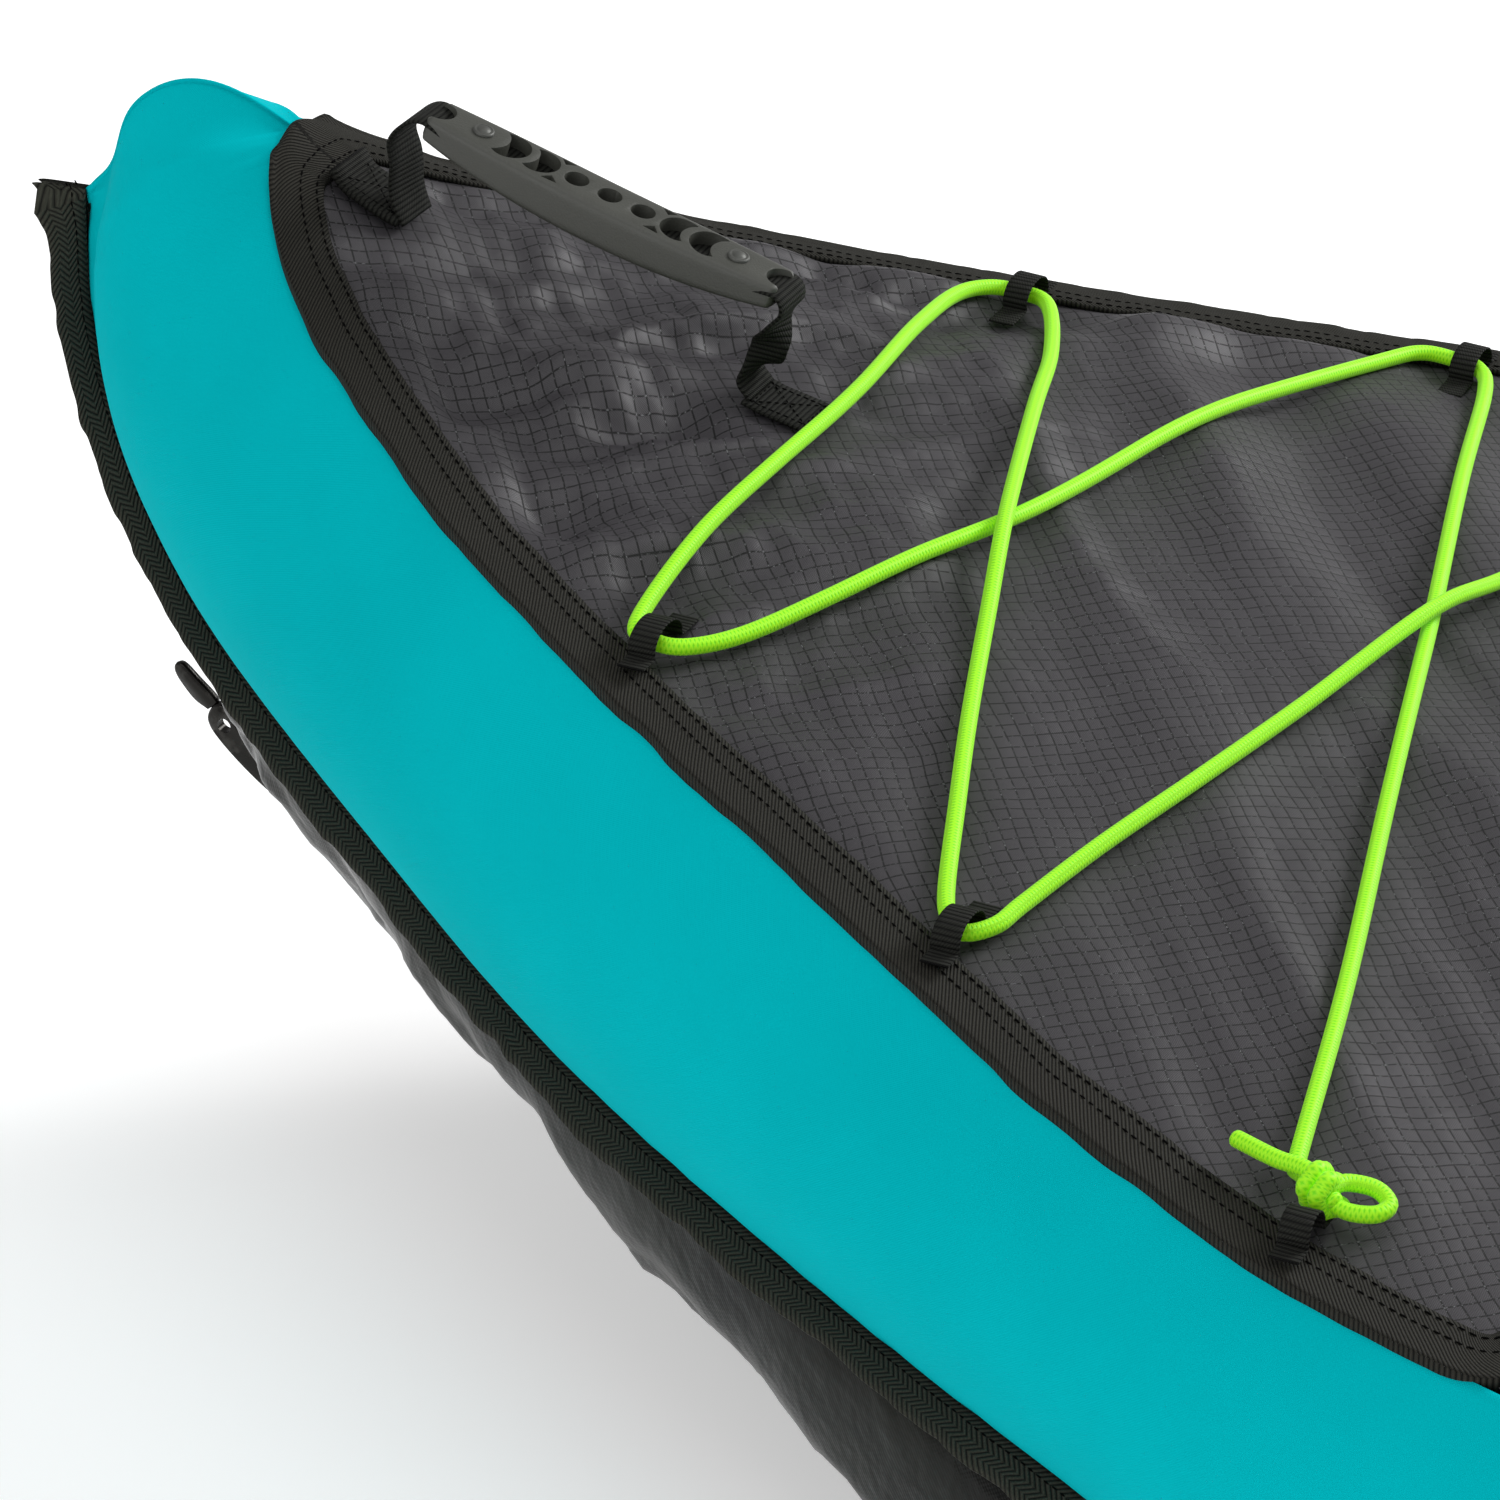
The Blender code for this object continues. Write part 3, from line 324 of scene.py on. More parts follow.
def ribbedWebbing():  # polypropylene webbing: cross ribs, a fine slant in each, worn matt
    made, tree, shader = newMaterial("handleWebbing", {"Roughness": 0.75, "Specular IOR Level": 0.15})
    _, u, v = uvAxes(tree)
    ribs = ridge(tree, u, 0.0021, 0.7)
    slant = ridge(tree, mathNode(tree, "ADD", v, mathNode(tree, "MULTIPLY", u, 0.6)), 0.0012, 0.8)
    height = mathNode(tree, "ADD", ribs, mathNode(tree, "MULTIPLY", slant, 0.35))
    tone = mathNode(tree, "MULTIPLY", ribs, spread(tree, slant, 0.0, 1.0, 0.55, 1.0))
    paint(tree, shader, tone, "#040404", "#262723")
    bumped(tree, shader, height, 0.0007, 1.0)
    return made


def coatedTarpaulin():  # PVC coated scrim: wet-looking grey green film over a coarse woven base
    made, tree, shader = newMaterial("pvcTarpaulin", {"Roughness": 0.32, "Specular IOR Level": 0.16})
    source, u, v = uvAxes(tree)
    scrim = plainWeave(tree, u, v, 0.0022)
    cloud = cloudy(tree, add(tree, "TexCoord").outputs["Object"], 14.0, 4.0)
    paint(tree, shader, spread(tree, cloud, 0.35, 0.7), "#0b0c0a", "#191b16")
    tree.links.new(spread(tree, cloud, 0.3, 0.7, 0.2, 0.34), shader.inputs["Roughness"])
    soft = bumped(tree, shader, cloudy(tree, source, 38.0, 3.0), 0.004, 0.5)
    bumped(tree, shader, scrim, 0.00015, 0.35, soft)
    return made


def braidedCord():  # fluorescent polyester braid over rubber; a weak emission paints a glow on it, which brightens it in its shade
    made, tree, shader = newMaterial("neonBraid", {
        "Roughness": 0.5, "Sheen Weight": 0.1, "Specular IOR Level": 0.25,
        # painted glow: a weak green emission makes the cord brighter than its lighting alone
        "Emission Color": hexColor("#9cff00"), "Emission Strength": 0.07,
    })
    _, u, v = uvAxes(tree)
    strand = 0.0016
    first = ridge(tree, mathNode(tree, "ADD", u, v), strand)
    second = ridge(tree, mathNode(tree, "SUBTRACT", u, v), strand)
    braid = mathNode(tree, "MAXIMUM", first, second)
    paint(tree, shader, spread(tree, braid, 0.4, 1.0), "#72dc00", "#a6f51a")
    bumped(tree, shader, braid, 0.0003, 0.6)
    return made


def mouldedNylon(name, color, grain, rough=0.45):  # glass filled nylon: the fine even grain of the mould
    made, tree, shader = newMaterial(name, {"Roughness": rough, "IOR": 1.53})
    source = add(tree, "TexCoord").outputs["Object"]
    fine, broad = cloudy(tree, source, 1 / grain, 2.0), cloudy(tree, source, 40.0, 3.0)
    paint(tree, shader, broad, color[0], color[1])
    tree.links.new(spread(tree, broad, 0.3, 0.7, rough - 0.06, rough + 0.08), shader.inputs["Roughness"])
    bumped(tree, shader, fine, 0.00025, 0.6)
    return made


def rivetSteel():  # dull zinc grey, satin, the tone of the grip round it
    made, tree, shader = newMaterial("satinRivet", {"Metallic": 0.3, "Roughness": 0.5})
    source = add(tree, "TexCoord").outputs["Object"]
    paint(tree, shader, cloudy(tree, source, 300.0), "#3c3d3a", "#565753")
    bumped(tree, shader, cloudy(tree, source, 1500.0), 0.0001, 0.3)
    return made


def blackenedSteel():  # black oxide on steel: dark, glossy, rubbed brighter in places
    made, tree, shader = newMaterial("blackenedSteel", {"Metallic": 0.85, "Roughness": 0.3})
    source = add(tree, "TexCoord").outputs["Object"]
    rub = spread(tree, cloudy(tree, source, 120.0, 4.0), 0.5, 0.8)
    paint(tree, shader, rub, "#262523", "#4a4946")
    tree.links.new(spread(tree, rub, 0.0, 1.0, 0.24, 0.42), shader.inputs["Roughness"])
    bumped(tree, shader, cloudy(tree, source, 900.0, 2.0), 0.0001, 0.4)
    return made


def bladderFilm(name, deep, pale):  # calendered TPU film: smooth, satin, faintly rippled
    made, tree, shader = newMaterial(name, {"Roughness": 0.3, "IOR": 1.5})
    source = add(tree, "TexCoord").outputs["Object"]
    paint(tree, shader, cloudy(tree, source, 6.0), deep, pale)
    bumped(tree, shader, cloudy(tree, source, 60.0, 2.0), 0.001, 0.3)
    return made


def seatCloth():  # polyester canvas over foam: coarse plain weave, matt
    made, tree, shader = newMaterial("seatCanvas", {"Roughness": 0.8, "Sheen Weight": 0.3})
    source = add(tree, "TexCoord").outputs["Object"]
    axes = add(tree, "SeparateXYZ", Vector=source)
    height = mathNode(tree, "ADD", axes.outputs[0], axes.outputs[2])
    weave = plainWeave(tree, height, axes.outputs[1], 0.0016)
    tone = mathNode(tree, "MULTIPLY_ADD", weave, 0.6)
    paint(tree, shader, tone, "#1d1d20", "#37373c")
    bumped(tree, shader, weave, 0.0004, 0.6)
    return made


def blackThread():  # bonded nylon sewing thread, slightly waxy
    made, tree, shader = newMaterial("blackThread", {"Roughness": 0.85, "Specular IOR Level": 0.05})
    source = add(tree, "TexCoord").outputs["Object"]
    paint(tree, shader, cloudy(tree, source, 700.0), "#020202", "#060606")
    return made


finish = {
    "teal": tealNylon(),
    "ripstop": ripstopNylon(),
    "tape": herringbone("deckTape", "#050505", "#383731", 0.0019, 0.5),
    "binding": herringbone("seamBinding", "#050504", "#3f4037", 0.0027, 0.0068),
    "webbing": ribbedWebbing(),
    "pvc": coatedTarpaulin(),
    "cord": braidedCord(),
    "grip": mouldedNylon("mouldedGrip", ("#363732", "#43443e"), 0.0009),
    "rivet": rivetSteel(),
    "steel": blackenedSteel(),
    "bladder": bladderFilm("bladderFilm", "#b9bdbf", "#d4d7d8"),
    "sideBladder": bladderFilm("darkBladderFilm", "#0d3d41", "#15565b"),
    "plastic": mouldedNylon("blackAcetal", ("#141414", "#232323"), 0.0012, 0.38),
    "seat": seatCloth(),
    "thread": blackThread(),
}


# Mesh making


def meshPiece(name, points, faces, look, body, uv=None, smooth=True):
    mesh = bpy.data.meshes.new(name)
    mesh.from_pydata(np.asarray(points, float).tolist(), [], faces)
    if uv is not None:
        layer = mesh.uv_layers.new(name="cloth")
        loops = np.empty(len(mesh.loops), np.int32)
        mesh.loops.foreach_get("vertex_index", loops)
        layer.data.foreach_set("uv", np.asarray(uv, float)[loops].ravel())
    if smooth:
        mesh.shade_smooth()
    mesh.materials.append(finish[look] if isinstance(look, str) else look)
    made = bpy.data.objects.new(name, mesh)
    bpy.context.scene.collection.objects.link(made)
    if body:
        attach(made, body)
    return made


def gridFaces(rows, columns, start=0, flip=False):
    number = np.arange(rows * columns).reshape(rows, columns) + start
    corners = [number[:-1, :-1], number[:-1, 1:], number[1:, 1:], number[1:, :-1]]
    quads = np.stack(corners, -1).reshape(-1, 4)
    return (quads[:, ::-1] if flip else quads).tolist()


def gridNormals(grid):
    normal = np.cross(np.gradient(grid, axis=0), np.gradient(grid, axis=1))
    return normal / np.maximum(np.linalg.norm(normal, axis=2, keepdims=True), 1e-12)


def clothSheet(name, grid, thickness, look, body, outward=1, uv=None):  # wall behind a grid of outer points
    rows, columns = grid.shape[:2]
    normal = gridNormals(grid) * outward
    points = np.concatenate([grid.reshape(-1, 3), (grid - normal * thickness).reshape(-1, 3)])
    count = rows * columns
    flip = outward < 0
    faces = gridFaces(rows, columns, 0, flip) + gridFaces(rows, columns, count, not flip)
    number = np.arange(count).reshape(rows, columns)
    rim = np.concatenate([number[:, 0], number[-1, 1:], number[-2::-1, -1], number[0, -2:0:-1]])
    after = np.roll(rim, -1)
    rimFaces = np.stack([rim, after, after + count, rim + count], -1)
    faces += (rimFaces if flip else rimFaces[:, ::-1])[:, ::-1].tolist()
    if uv is None:
        gaps = np.linalg.norm(np.diff(grid[:, columns // 2], axis=0), axis=1)
        along = np.concatenate([[0], np.cumsum(gaps)])
        steps = np.linalg.norm(np.diff(grid, axis=1), axis=2)
        across = np.concatenate([np.zeros((rows, 1)), np.cumsum(steps, axis=1)], axis=1)
        across -= across[:, columns // 2:columns // 2 + 1]
        uv = np.stack([np.repeat(along[:, None], columns, 1), across], -1)
    flat = np.asarray(uv).reshape(-1, 2)
    made = meshPiece(name, points, faces, look, None, np.concatenate([flat, flat]))
    outwardFaces(made)
    if body:
        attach(made, body)
    return made


def outwardFaces(piece):
    shape = bmesh.new()
    shape.from_mesh(piece.data)
    bmesh.ops.recalc_face_normals(shape, faces=shape.faces)
    shape.to_mesh(piece.data)
    shape.free()


def ringed(name, sections, look, body, closed=False, uv=None):  # solid through rings of points
    sections = np.asarray(sections, float)
    rows, count = sections.shape[:2]
    wrap = np.concatenate([sections, sections[:, :1]], 1)
    number = np.arange(rows * count).reshape(rows, count)
    turned = np.roll(number, -1, axis=1)
    if closed:
        nextRow, nextTurned = np.roll(number, -1, axis=0), np.roll(turned, -1, axis=0)
        faces = np.stack([number, turned, nextTurned, nextRow], -1).reshape(-1, 4).tolist()
    else:
        faces = np.stack([number[:-1], turned[:-1], turned[1:], number[1:]], -1).reshape(-1, 4).tolist()
        faces += [number[0][::-1].tolist(), number[-1].tolist()]
    if uv is None:
        along = np.concatenate([[0], np.cumsum(np.linalg.norm(np.diff(sections.mean(1), axis=0), axis=1))])
        girth = np.concatenate([[0], np.cumsum(np.linalg.norm(np.diff(wrap[0], axis=0), axis=1))])[:count]
        uv = np.stack([np.repeat(along[:, None], count, 1), np.repeat(girth[None], rows, 0)], -1)
    made = meshPiece(name, sections.reshape(-1, 3), faces, look, None, np.asarray(uv).reshape(-1, 2))
    outwardFaces(made)
    if body:
        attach(made, body)
    return made


def smoothPath(points, spacing):  # even points on a smooth curve through the given ones
    points = np.asarray(points, float)
    samples = fair(points, np.linspace(0, len(points) - 1, 24 * len(points)))
    lengths = np.concatenate([[0], np.cumsum(np.linalg.norm(np.diff(samples, axis=0), axis=1))])
    count = max(int(lengths[-1] / spacing), 4)
    even = np.linspace(0, lengths[-1], count + 1)
    return np.stack([np.interp(even, lengths, samples[:, axis]) for axis in range(3)], -1)


def directions(path, closed=False):
    if closed:
        run = np.roll(path, -1, 0) - np.roll(path, 1, 0)
    else:
        run = np.gradient(path, axis=0)
    return run / np.linalg.norm(run, axis=1, keepdims=True)


def band(name, path, sides, width, thickness, look, body, closed=False, crown=0.0):  # flat webbing
    path, sides = np.asarray(path, float), np.asarray(sides, float)
    sides = np.broadcast_to(sides, path.shape)
    run = directions(path, closed)
    sides = sides - run * (sides * run).sum(1, keepdims=True)
    sides = sides / np.linalg.norm(sides, axis=1, keepdims=True)
    face = np.cross(run, sides)
    outline = [(-0.5, -0.5), (-0.25, -0.5), (0, -0.5), (0.25, -0.5), (0.5, -0.5), (0.53, 0.0),
               (0.5, 0.5), (0.25, 0.5), (0, 0.5), (-0.25, 0.5), (-0.5, 0.5), (-0.53, 0.0)]
    widths = np.broadcast_to(np.asarray(width, float), (len(path),))[:, None]
    rings = []
    for a, b in outline:
        rings.append(path + sides * a * widths + face * (b * thickness + crown * (1 - (2 * a) ** 2)))
    sections = np.stack(rings, 1)
    lengths = np.concatenate([[0], np.cumsum(np.linalg.norm(np.diff(path, axis=0), axis=1))])
    acrossBand = np.array([a for a, b in outline])[None] * widths
    uv = np.stack([np.repeat(lengths[:, None], len(outline), 1), acrossBand], -1)
    return ringed(name, sections, look, body, closed, uv)


def tube(name, path, radius, look, body, sides=14, closed=False, ends=True):  # round cord along a path
    path = np.asarray(path, float)
    run = directions(path, closed)
    normal = np.cross(run[0], (0.3, 0.2, 1.0))
    frames = []
    for step in run:
        normal = normal - step * normal.dot(step)
        normal = normal / np.linalg.norm(normal)
        frames.append((normal, np.cross(step, normal)))
    radii = np.broadcast_to(np.asarray(radius, float), (len(path),)).copy()
    if ends and not closed:
        cap = np.array([0.35, 0.75, 0.95])
        path = np.concatenate([
            [path[0] - run[0] * radii[0] * s for s in (0.55, 0.42, 0.2)], path,
            [path[-1] + run[-1] * radii[-1] * s for s in (0.2, 0.42, 0.55)]])
        frames = [frames[0]] * 3 + frames + [frames[-1]] * 3
        radii = np.concatenate([radii[0] * cap, radii, radii[-1] * cap[::-1]])
    angles = np.arange(sides) * 2 * math.pi / sides
    sections = np.array([
        [p + r * (math.cos(a) * n + math.sin(a) * b) for a in angles]
        for p, r, (n, b) in zip(path, radii, frames)
    ])
    return ringed(name, sections, look, body, closed)


def spun(name, profile, place, axis, look, body, segments=48):  # turned piece from (radius, height) pairs
    turn = Vector((0, 0, 1)).rotation_difference(Vector(axis)).to_matrix()
    sections = []
    for radius, height in profile:
        angles = np.arange(segments) * 2 * math.pi / segments
        ring = np.stack([radius * np.cos(angles), radius * np.sin(angles), np.full(segments, height)], -1)
        sections.append(ring @ np.array(turn).T + np.array(place))
    return ringed(name, sections, look, body)


def applied(piece):  # the piece as its modifiers leave it, as a plain mesh
    graph = bpy.context.evaluated_depsgraph_get()
    mesh = bpy.data.meshes.new_from_object(piece.evaluated_get(graph))
    piece.modifiers.clear()
    piece.data = mesh
    return piece


def roundEdges(piece, width, segments=2, angle=30):
    edge = piece.modifiers.new("edges", "BEVEL")
    edge.width = width
    edge.segments = segments
    edge.limit_method = "ANGLE"
    edge.angle_limit = math.radians(angle)
    edge.harden_normals = False
    applied(piece)
    piece.data.shade_smooth()
    piece.data.set_sharp_from_angle(angle=math.radians(50))
    return piece


def carve(piece, tools, operation="DIFFERENCE"):
    for tool in tools:
        cut = piece.modifiers.new("cut", "BOOLEAN")
        cut.operation = operation
        cut.object = tool
        bpy.context.view_layer.update()
        applied(piece)
        bpy.data.objects.remove(tool, do_unlink=True)
    return piece


# Stitches, with geometry nodes


def stitchTree():
    tree = bpy.data.node_groups.new("runOfStitches", "GeometryNodeTree")
    face = tree.interface
    face.new_socket("Geometry", in_out="INPUT", socket_type="NodeSocketGeometry")
    for label, value in (("Pitch", 0.004), ("Stitch Length", 0.0028), ("Thread Radius", 0.0003)):
        face.new_socket(label, in_out="INPUT", socket_type="NodeSocketFloat").default_value = value
    face.new_socket("Seed", in_out="INPUT", socket_type="NodeSocketInt").default_value = 4
    face.new_socket("Thread", in_out="INPUT", socket_type="NodeSocketMaterial")
    face.new_socket("Geometry", in_out="OUTPUT", socket_type="NodeSocketGeometry")

    def put(kind, **settings):
        node = tree.nodes.new(kind)
        for key, value in settings.items():
            setattr(node, key, value)
        return node

    link = tree.links.new
    given, out = put("NodeGroupInput"), put("NodeGroupOutput")
    points = put("GeometryNodeCurveToPoints", mode="LENGTH")
    link(given.outputs["Geometry"], points.inputs["Curve"])
    link(given.outputs["Pitch"], points.inputs["Length"])
    shape = put("GeometryNodeMeshUVSphere")
    shape.inputs["Segments"].default_value = 6
    shape.inputs["Rings"].default_value = 5
    shape.inputs["Radius"].default_value = 1.0
    size = put("ShaderNodeCombineXYZ")
    half = put("ShaderNodeMath", operation="MULTIPLY")
    half.inputs[1].default_value = 0.5
    link(given.outputs["Stitch Length"], half.inputs[0])
    link(given.outputs["Thread Radius"], size.inputs[0])
    link(given.outputs["Thread Radius"], size.inputs[1])
    link(half.outputs[0], size.inputs[2])
    jitter = put("FunctionNodeRandomValue")
    jitter.inputs[2].default_value = 0.88
    jitter.inputs[3].default_value = 1.12
    link(given.outputs["Seed"], jitter.inputs["Seed"])
    scaled = put("ShaderNodeVectorMath", operation="SCALE")
    link(size.outputs[0], scaled.inputs[0])
    link(jitter.outputs[1], scaled.inputs["Scale"])
    place = put("GeometryNodeInstanceOnPoints")
    link(points.outputs["Points"], place.inputs["Points"])
    link(shape.outputs["Mesh"], place.inputs["Instance"])
    link(points.outputs["Rotation"], place.inputs["Rotation"])
    link(scaled.outputs[0], place.inputs["Scale"])
    real = put("GeometryNodeRealizeInstances")
    link(place.outputs[0], real.inputs[0])
    smooth = put("GeometryNodeSetShadeSmooth")
    link(real.outputs[0], smooth.inputs[0])
    paint = put("GeometryNodeSetMaterial")
    link(smooth.outputs[0], paint.inputs["Geometry"])
    link(given.outputs["Thread"], paint.inputs["Material"])
    link(paint.outputs[0], out.inputs[0])
    return tree


stitches = stitchTree()


def sew(name, paths, settings, look, body):  # one piece of stitches along all of the paths
    curve = bpy.data.curves.new(name, "CURVE")
    curve.dimensions = "3D"
    for path in paths:
        spline = curve.splines.new("POLY")
        spline.points.add(len(path) - 1)
        spline.points.foreach_set("co", np.concatenate([path, np.ones((len(path), 1))], 1).ravel())
    made = bpy.data.objects.new(name + "Line", curve)
    bpy.context.scene.collection.objects.link(made)
    modifier = made.modifiers.new("stitches", "NODES")
    modifier.node_group = stitches
    values = dict(settings)
    values["Thread"] = finish[look]
    for item in stitches.interface.items_tree:
        if item.in_out == "INPUT" and item.name in values:
            modifier[item.identifier] = values[item.name]
    bpy.context.view_layer.update()
    graph = bpy.context.evaluated_depsgraph_get()
    mesh = bpy.data.meshes.new_from_object(made.evaluated_get(graph))
    bpy.data.objects.remove(made, do_unlink=True)
    mesh.name = name
    piece = bpy.data.objects.new(name, mesh)
    bpy.context.scene.collection.objects.link(piece)
    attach(piece, body)
    return piece


# Camera, light and floor

print("camera and light")
cameraPlace = Vector((0.2813, 1.8604, 1.3931))
cameraAim = Vector((0.39486, -0.77206, -0.49800))
cameraData = bpy.data.cameras.new("camera")
cameraData.lens = 143.6
cameraData.sensor_width = 36.0
cameraData.clip_end = 60
camera = bpy.data.objects.new("camera", cameraData)
bpy.context.scene.collection.objects.link(camera)
level = cameraAim.to_track_quat("-Z", "Y").to_matrix()
tilted = level @ Matrix.Rotation(math.radians(-0.41), 3, "Z")
camera.matrix_world = Matrix.Translation(cameraPlace) @ tilted.to_4x4()
bpy.context.scene.camera = camera

studio = {
    "key": {"place": (-0.9, -2.9, 2.3), "aim": (1.1, 0.0, 0.3), "size": 1.5, "power": 150},
    "front": {"place": (2.2, 3.4, 2.6), "aim": (0.9, 0.0, 0.2), "size": 3.0, "power": 46},
    "top": {"place": (0.4, 0.4, 4.2), "aim": (0.8, 0.0, 0.2), "size": 3.2, "power": 40},
}


def softbox(name, place, aim, size, power):
    light = bpy.data.lights.new(name, "AREA")
    light.size = size
    light.energy = power
    lamp = bpy.data.objects.new(name, light)
    bpy.context.scene.collection.objects.link(lamp)
    lamp.location = place
    lamp.rotation_euler = (Vector(aim) - Vector(place)).to_track_quat("-Z", "Y").to_euler()


for lampName, values in studio.items():
    softbox(lampName, **values)
world = bpy.data.worlds.new("studio")
world.use_nodes = True
world.node_tree.nodes["Background"].inputs[0].default_value = (1, 1, 1, 1)
world.node_tree.nodes["Background"].inputs[1].default_value = 0.40
bpy.context.scene.world = world
floorMesh = bpy.data.meshes.new("studioFloor")
floorMesh.from_pydata([(-30, -30, 0), (30, -30, 0), (30, 30, 0), (-30, 30, 0)], [], [(0, 1, 2, 3)])
floor = bpy.data.objects.new("studioFloor", floorMesh)
bpy.context.scene.collection.objects.link(floor)
glow = {"Roughness": 0.9, "Emission Color": (1, 1, 1, 1), "Emission Strength": 0.32}
pale, paleTree, paleShader = newMaterial("paleBackdrop", glow)
paleNoise = cloudy(paleTree, add(paleTree, "TexCoord").outputs["Object"], 2.0)
paleTone = mixColor(paleTree, paleNoise, hexColor("#f4f4f4"), hexColor("#f8f8f8"))
paleTree.links.new(paleTone, paleShader.inputs["Base Color"])
floorMesh.materials.append(pale)


# Smooth noise over a pair of coordinates, one hill each unit


def ripple(x, y, seed):
    table = np.random.default_rng(seed).uniform(-1, 1, (97, 97))
    x, y = np.asarray(x, float) + 1000.0, np.asarray(y, float) + 1000.0
    column, row = np.floor(x).astype(int), np.floor(y).astype(int)
    fx, fy = x - column, y - row
    fx, fy = fx**3 * (fx * (6 * fx - 15) + 10), fy**3 * (fy * (6 * fy - 15) + 10)
    near = table[column % 97, row % 97] * (1 - fx) + table[(column + 1) % 97, row % 97] * fx
    far = table[column % 97, (row + 1) % 97] * (1 - fx) + table[(column + 1) % 97, (row + 1) % 97] * fx
    return near * (1 - fy) + far * fy


def lengthsAlong(points):
    return np.concatenate([[0], np.cumsum(np.linalg.norm(np.diff(points, axis=0), axis=-1))])


# Fabric shell

print("side covers")
cover = {
    "rows": 190,          # rows in half the length
    "columns": 44,
    "thickness": 0.0012,
    "pucker": 0.0006,     # depth of the gathers at the bottom seam
    "pitch": 0.006,
    "noseGather": 0.0034,
}


def coverSwell(rows, along, share, seed):  # how far the stretched cover stands off its fair shape
    run, up = along[:, None], share[None]
    pull = ripple(run / cover["pitch"], up * 2, seed) + 0.5 * ripple(run / 0.014, up, seed + 1)
    low = cover["pucker"] * pull * np.exp(-up / 0.06)
    slack = 0.0012 * ripple(run / 0.11, up * 2.2, seed + 2) * np.sin(math.pi * up)
    nose = np.exp(-((rows / 0.85) ** 2))[:, None]
    gather = ripple(run / 0.011, up * 3, seed + 3) + 0.6 * ripple(run / 0.024, up * 2, seed + 4)
    top = cover["noseGather"] * nose * gather * np.exp(-(1 - up) / 0.28)
    edge = 0.0005 * ripple(run / 0.008, up, seed + 5) * np.exp(-(1 - up) / 0.05)
    stem = np.exp(-((rows / 1.2) ** 2))[:, None]
    full = 0.0085 * np.sin(math.pi * up**1.5) - 0.0080 * np.exp(-(((up - 0.16) / 0.12) ** 2))
    return (low + slack + top + edge + stem * full) * np.minimum(np.minimum(up, 1 - up) / 0.02, 1.0)


def sideCovers():
    halfRows = lastRow * np.linspace(0, 1, cover["rows"]) ** 1.25  # closer rows in the ends
    rows, ends = wholeLength(halfRows)
    share = np.linspace(0.012, 1.0, cover["columns"])
    at, up = np.meshgrid(rows, share, indexing="ij")
    base = sidePoint(at, up)
    _, _, out = sideFrame(rows)
    along = lengthsAlong(placed(fair(bottomSeam, rows), ends))
    for name, side in (("port", 1), ("starboard", -1)):
        swell = coverSwell(rows, along, share, 40 + 10 * side)
        grid = base + out[:, None] * swell[..., None]
        close = 0.0030 * np.exp(-((rows / 0.3) ** 2))[:, None]  # the two sides meet along the stem
        grid[..., 1] = np.maximum(grid[..., 1] - close, 0.0) * side
        grid[..., 0] = ends[:, None] * (halfLength - grid[..., 0])
        made = clothSheet(name + "SideCover", grid, cover["thickness"], "teal", "hull", side)
        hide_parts(name + "_side_cover")


def cockpitLinings():  # the cover goes on over each tube and down to the floor
    halfRows = np.linspace(float(rowAt(lines["deckEnd"] + 0.012)), lastRow, 60)
    rows, ends = wholeLength(halfRows)
    for name, side in (("port", 1), ("starboard", -1)):
        centre, radius = tubeCircle(rows)
        top = sidePoint(rows, np.ones(len(rows)))
        first = np.arctan2(top[:, 2] - centre[:, 2], top[:, 1] - centre[:, 1]) - 0.02
        turn = first[:, None] + (math.radians(216) - first[:, None]) * np.linspace(0, 1, 34)[None]
        run = lengthsAlong(placed(top, ends))[:, None]
        slack = ripple(run / 0.09, turn * 1.5, 61 + side) * np.sin((turn - first[:, None]) * 1.1)
        lift = 0.0010 + 0.0016 * slack
        grid = np.stack([
            np.repeat(centre[:, None, 0], 34, 1),
            (centre[:, None, 1] + (radius[:, None] + lift) * np.cos(turn)) * side,
            centre[:, None, 2] + (radius[:, None] + lift) * np.sin(turn),
        ], -1)
        grid[..., 0] = ends[:, None] * (halfLength - grid[..., 0])
        made = clothSheet(name + "CockpitLining", grid, cover["thickness"], "teal", "hull", side)
        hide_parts(name + "_inner_wall")


sideCovers()
cockpitLinings()

print("hull")
hull = {
    "rows": 170,
    "columns": 90,
    "thickness": 0.0012,
    "flat": 0.012,        # height below which the film lies flat
    "fold": 0.0042,       # depth of the short folds at the chine
    "hollow": 0.0036,     # depth of the broad hollows
}


def hullBottom():
    halfRows = lastRow * np.linspace(0, 1, hull["rows"]) ** 1.15
    rows, ends = wholeLength(halfRows)
    turn = np.linspace(-1, 1, hull["columns"])
    at, turns = np.meshgrid(rows, turn, indexing="ij")
    grid = hullPoint(at, turns)
    along = lengthsAlong(placed(fair(keelLine, rows) @ np.array([[1, 0, 0], [0, 0, 1]]), ends))[:, None]
    girth = np.abs(turns)
    chine = np.exp(-(((girth - 0.62) / 0.22) ** 2))
    fold = ripple(along / 0.030 + 6 * girth, turns * 3.0, 21)
    fold = fold + 0.7 * ripple(along / 0.016 - 4 * girth, turns * 5.0, 22)
    broad = ripple(along / 0.085, turns * 2.0, 23)
    inward = hull["fold"] * (fold - 1) * chine + hull["hollow"] * (broad - 1) * np.sin(math.pi * girth)
    inward = inward * (girth < 0.995)
    world = placed(grid, ends[:, None])
    clear = grid[..., 2] > hull["flat"]
    normal = gridNormals(world)
    below = np.stack([0 * girth, np.copysign(0.6, turns), -np.ones_like(girth)], -1)
    normal = normal * np.where((normal * below).sum(-1) < 0, -1, 1)[..., None]
    world = world + normal * (inward * np.clip((grid[..., 2] - 0.006) / 0.03, 0, 1) * clear)[..., None]
    made = clothSheet("hullSkin", world, hull["thickness"], "pvc", "hull", -1)
    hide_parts("hull_bottom")


hullBottom()

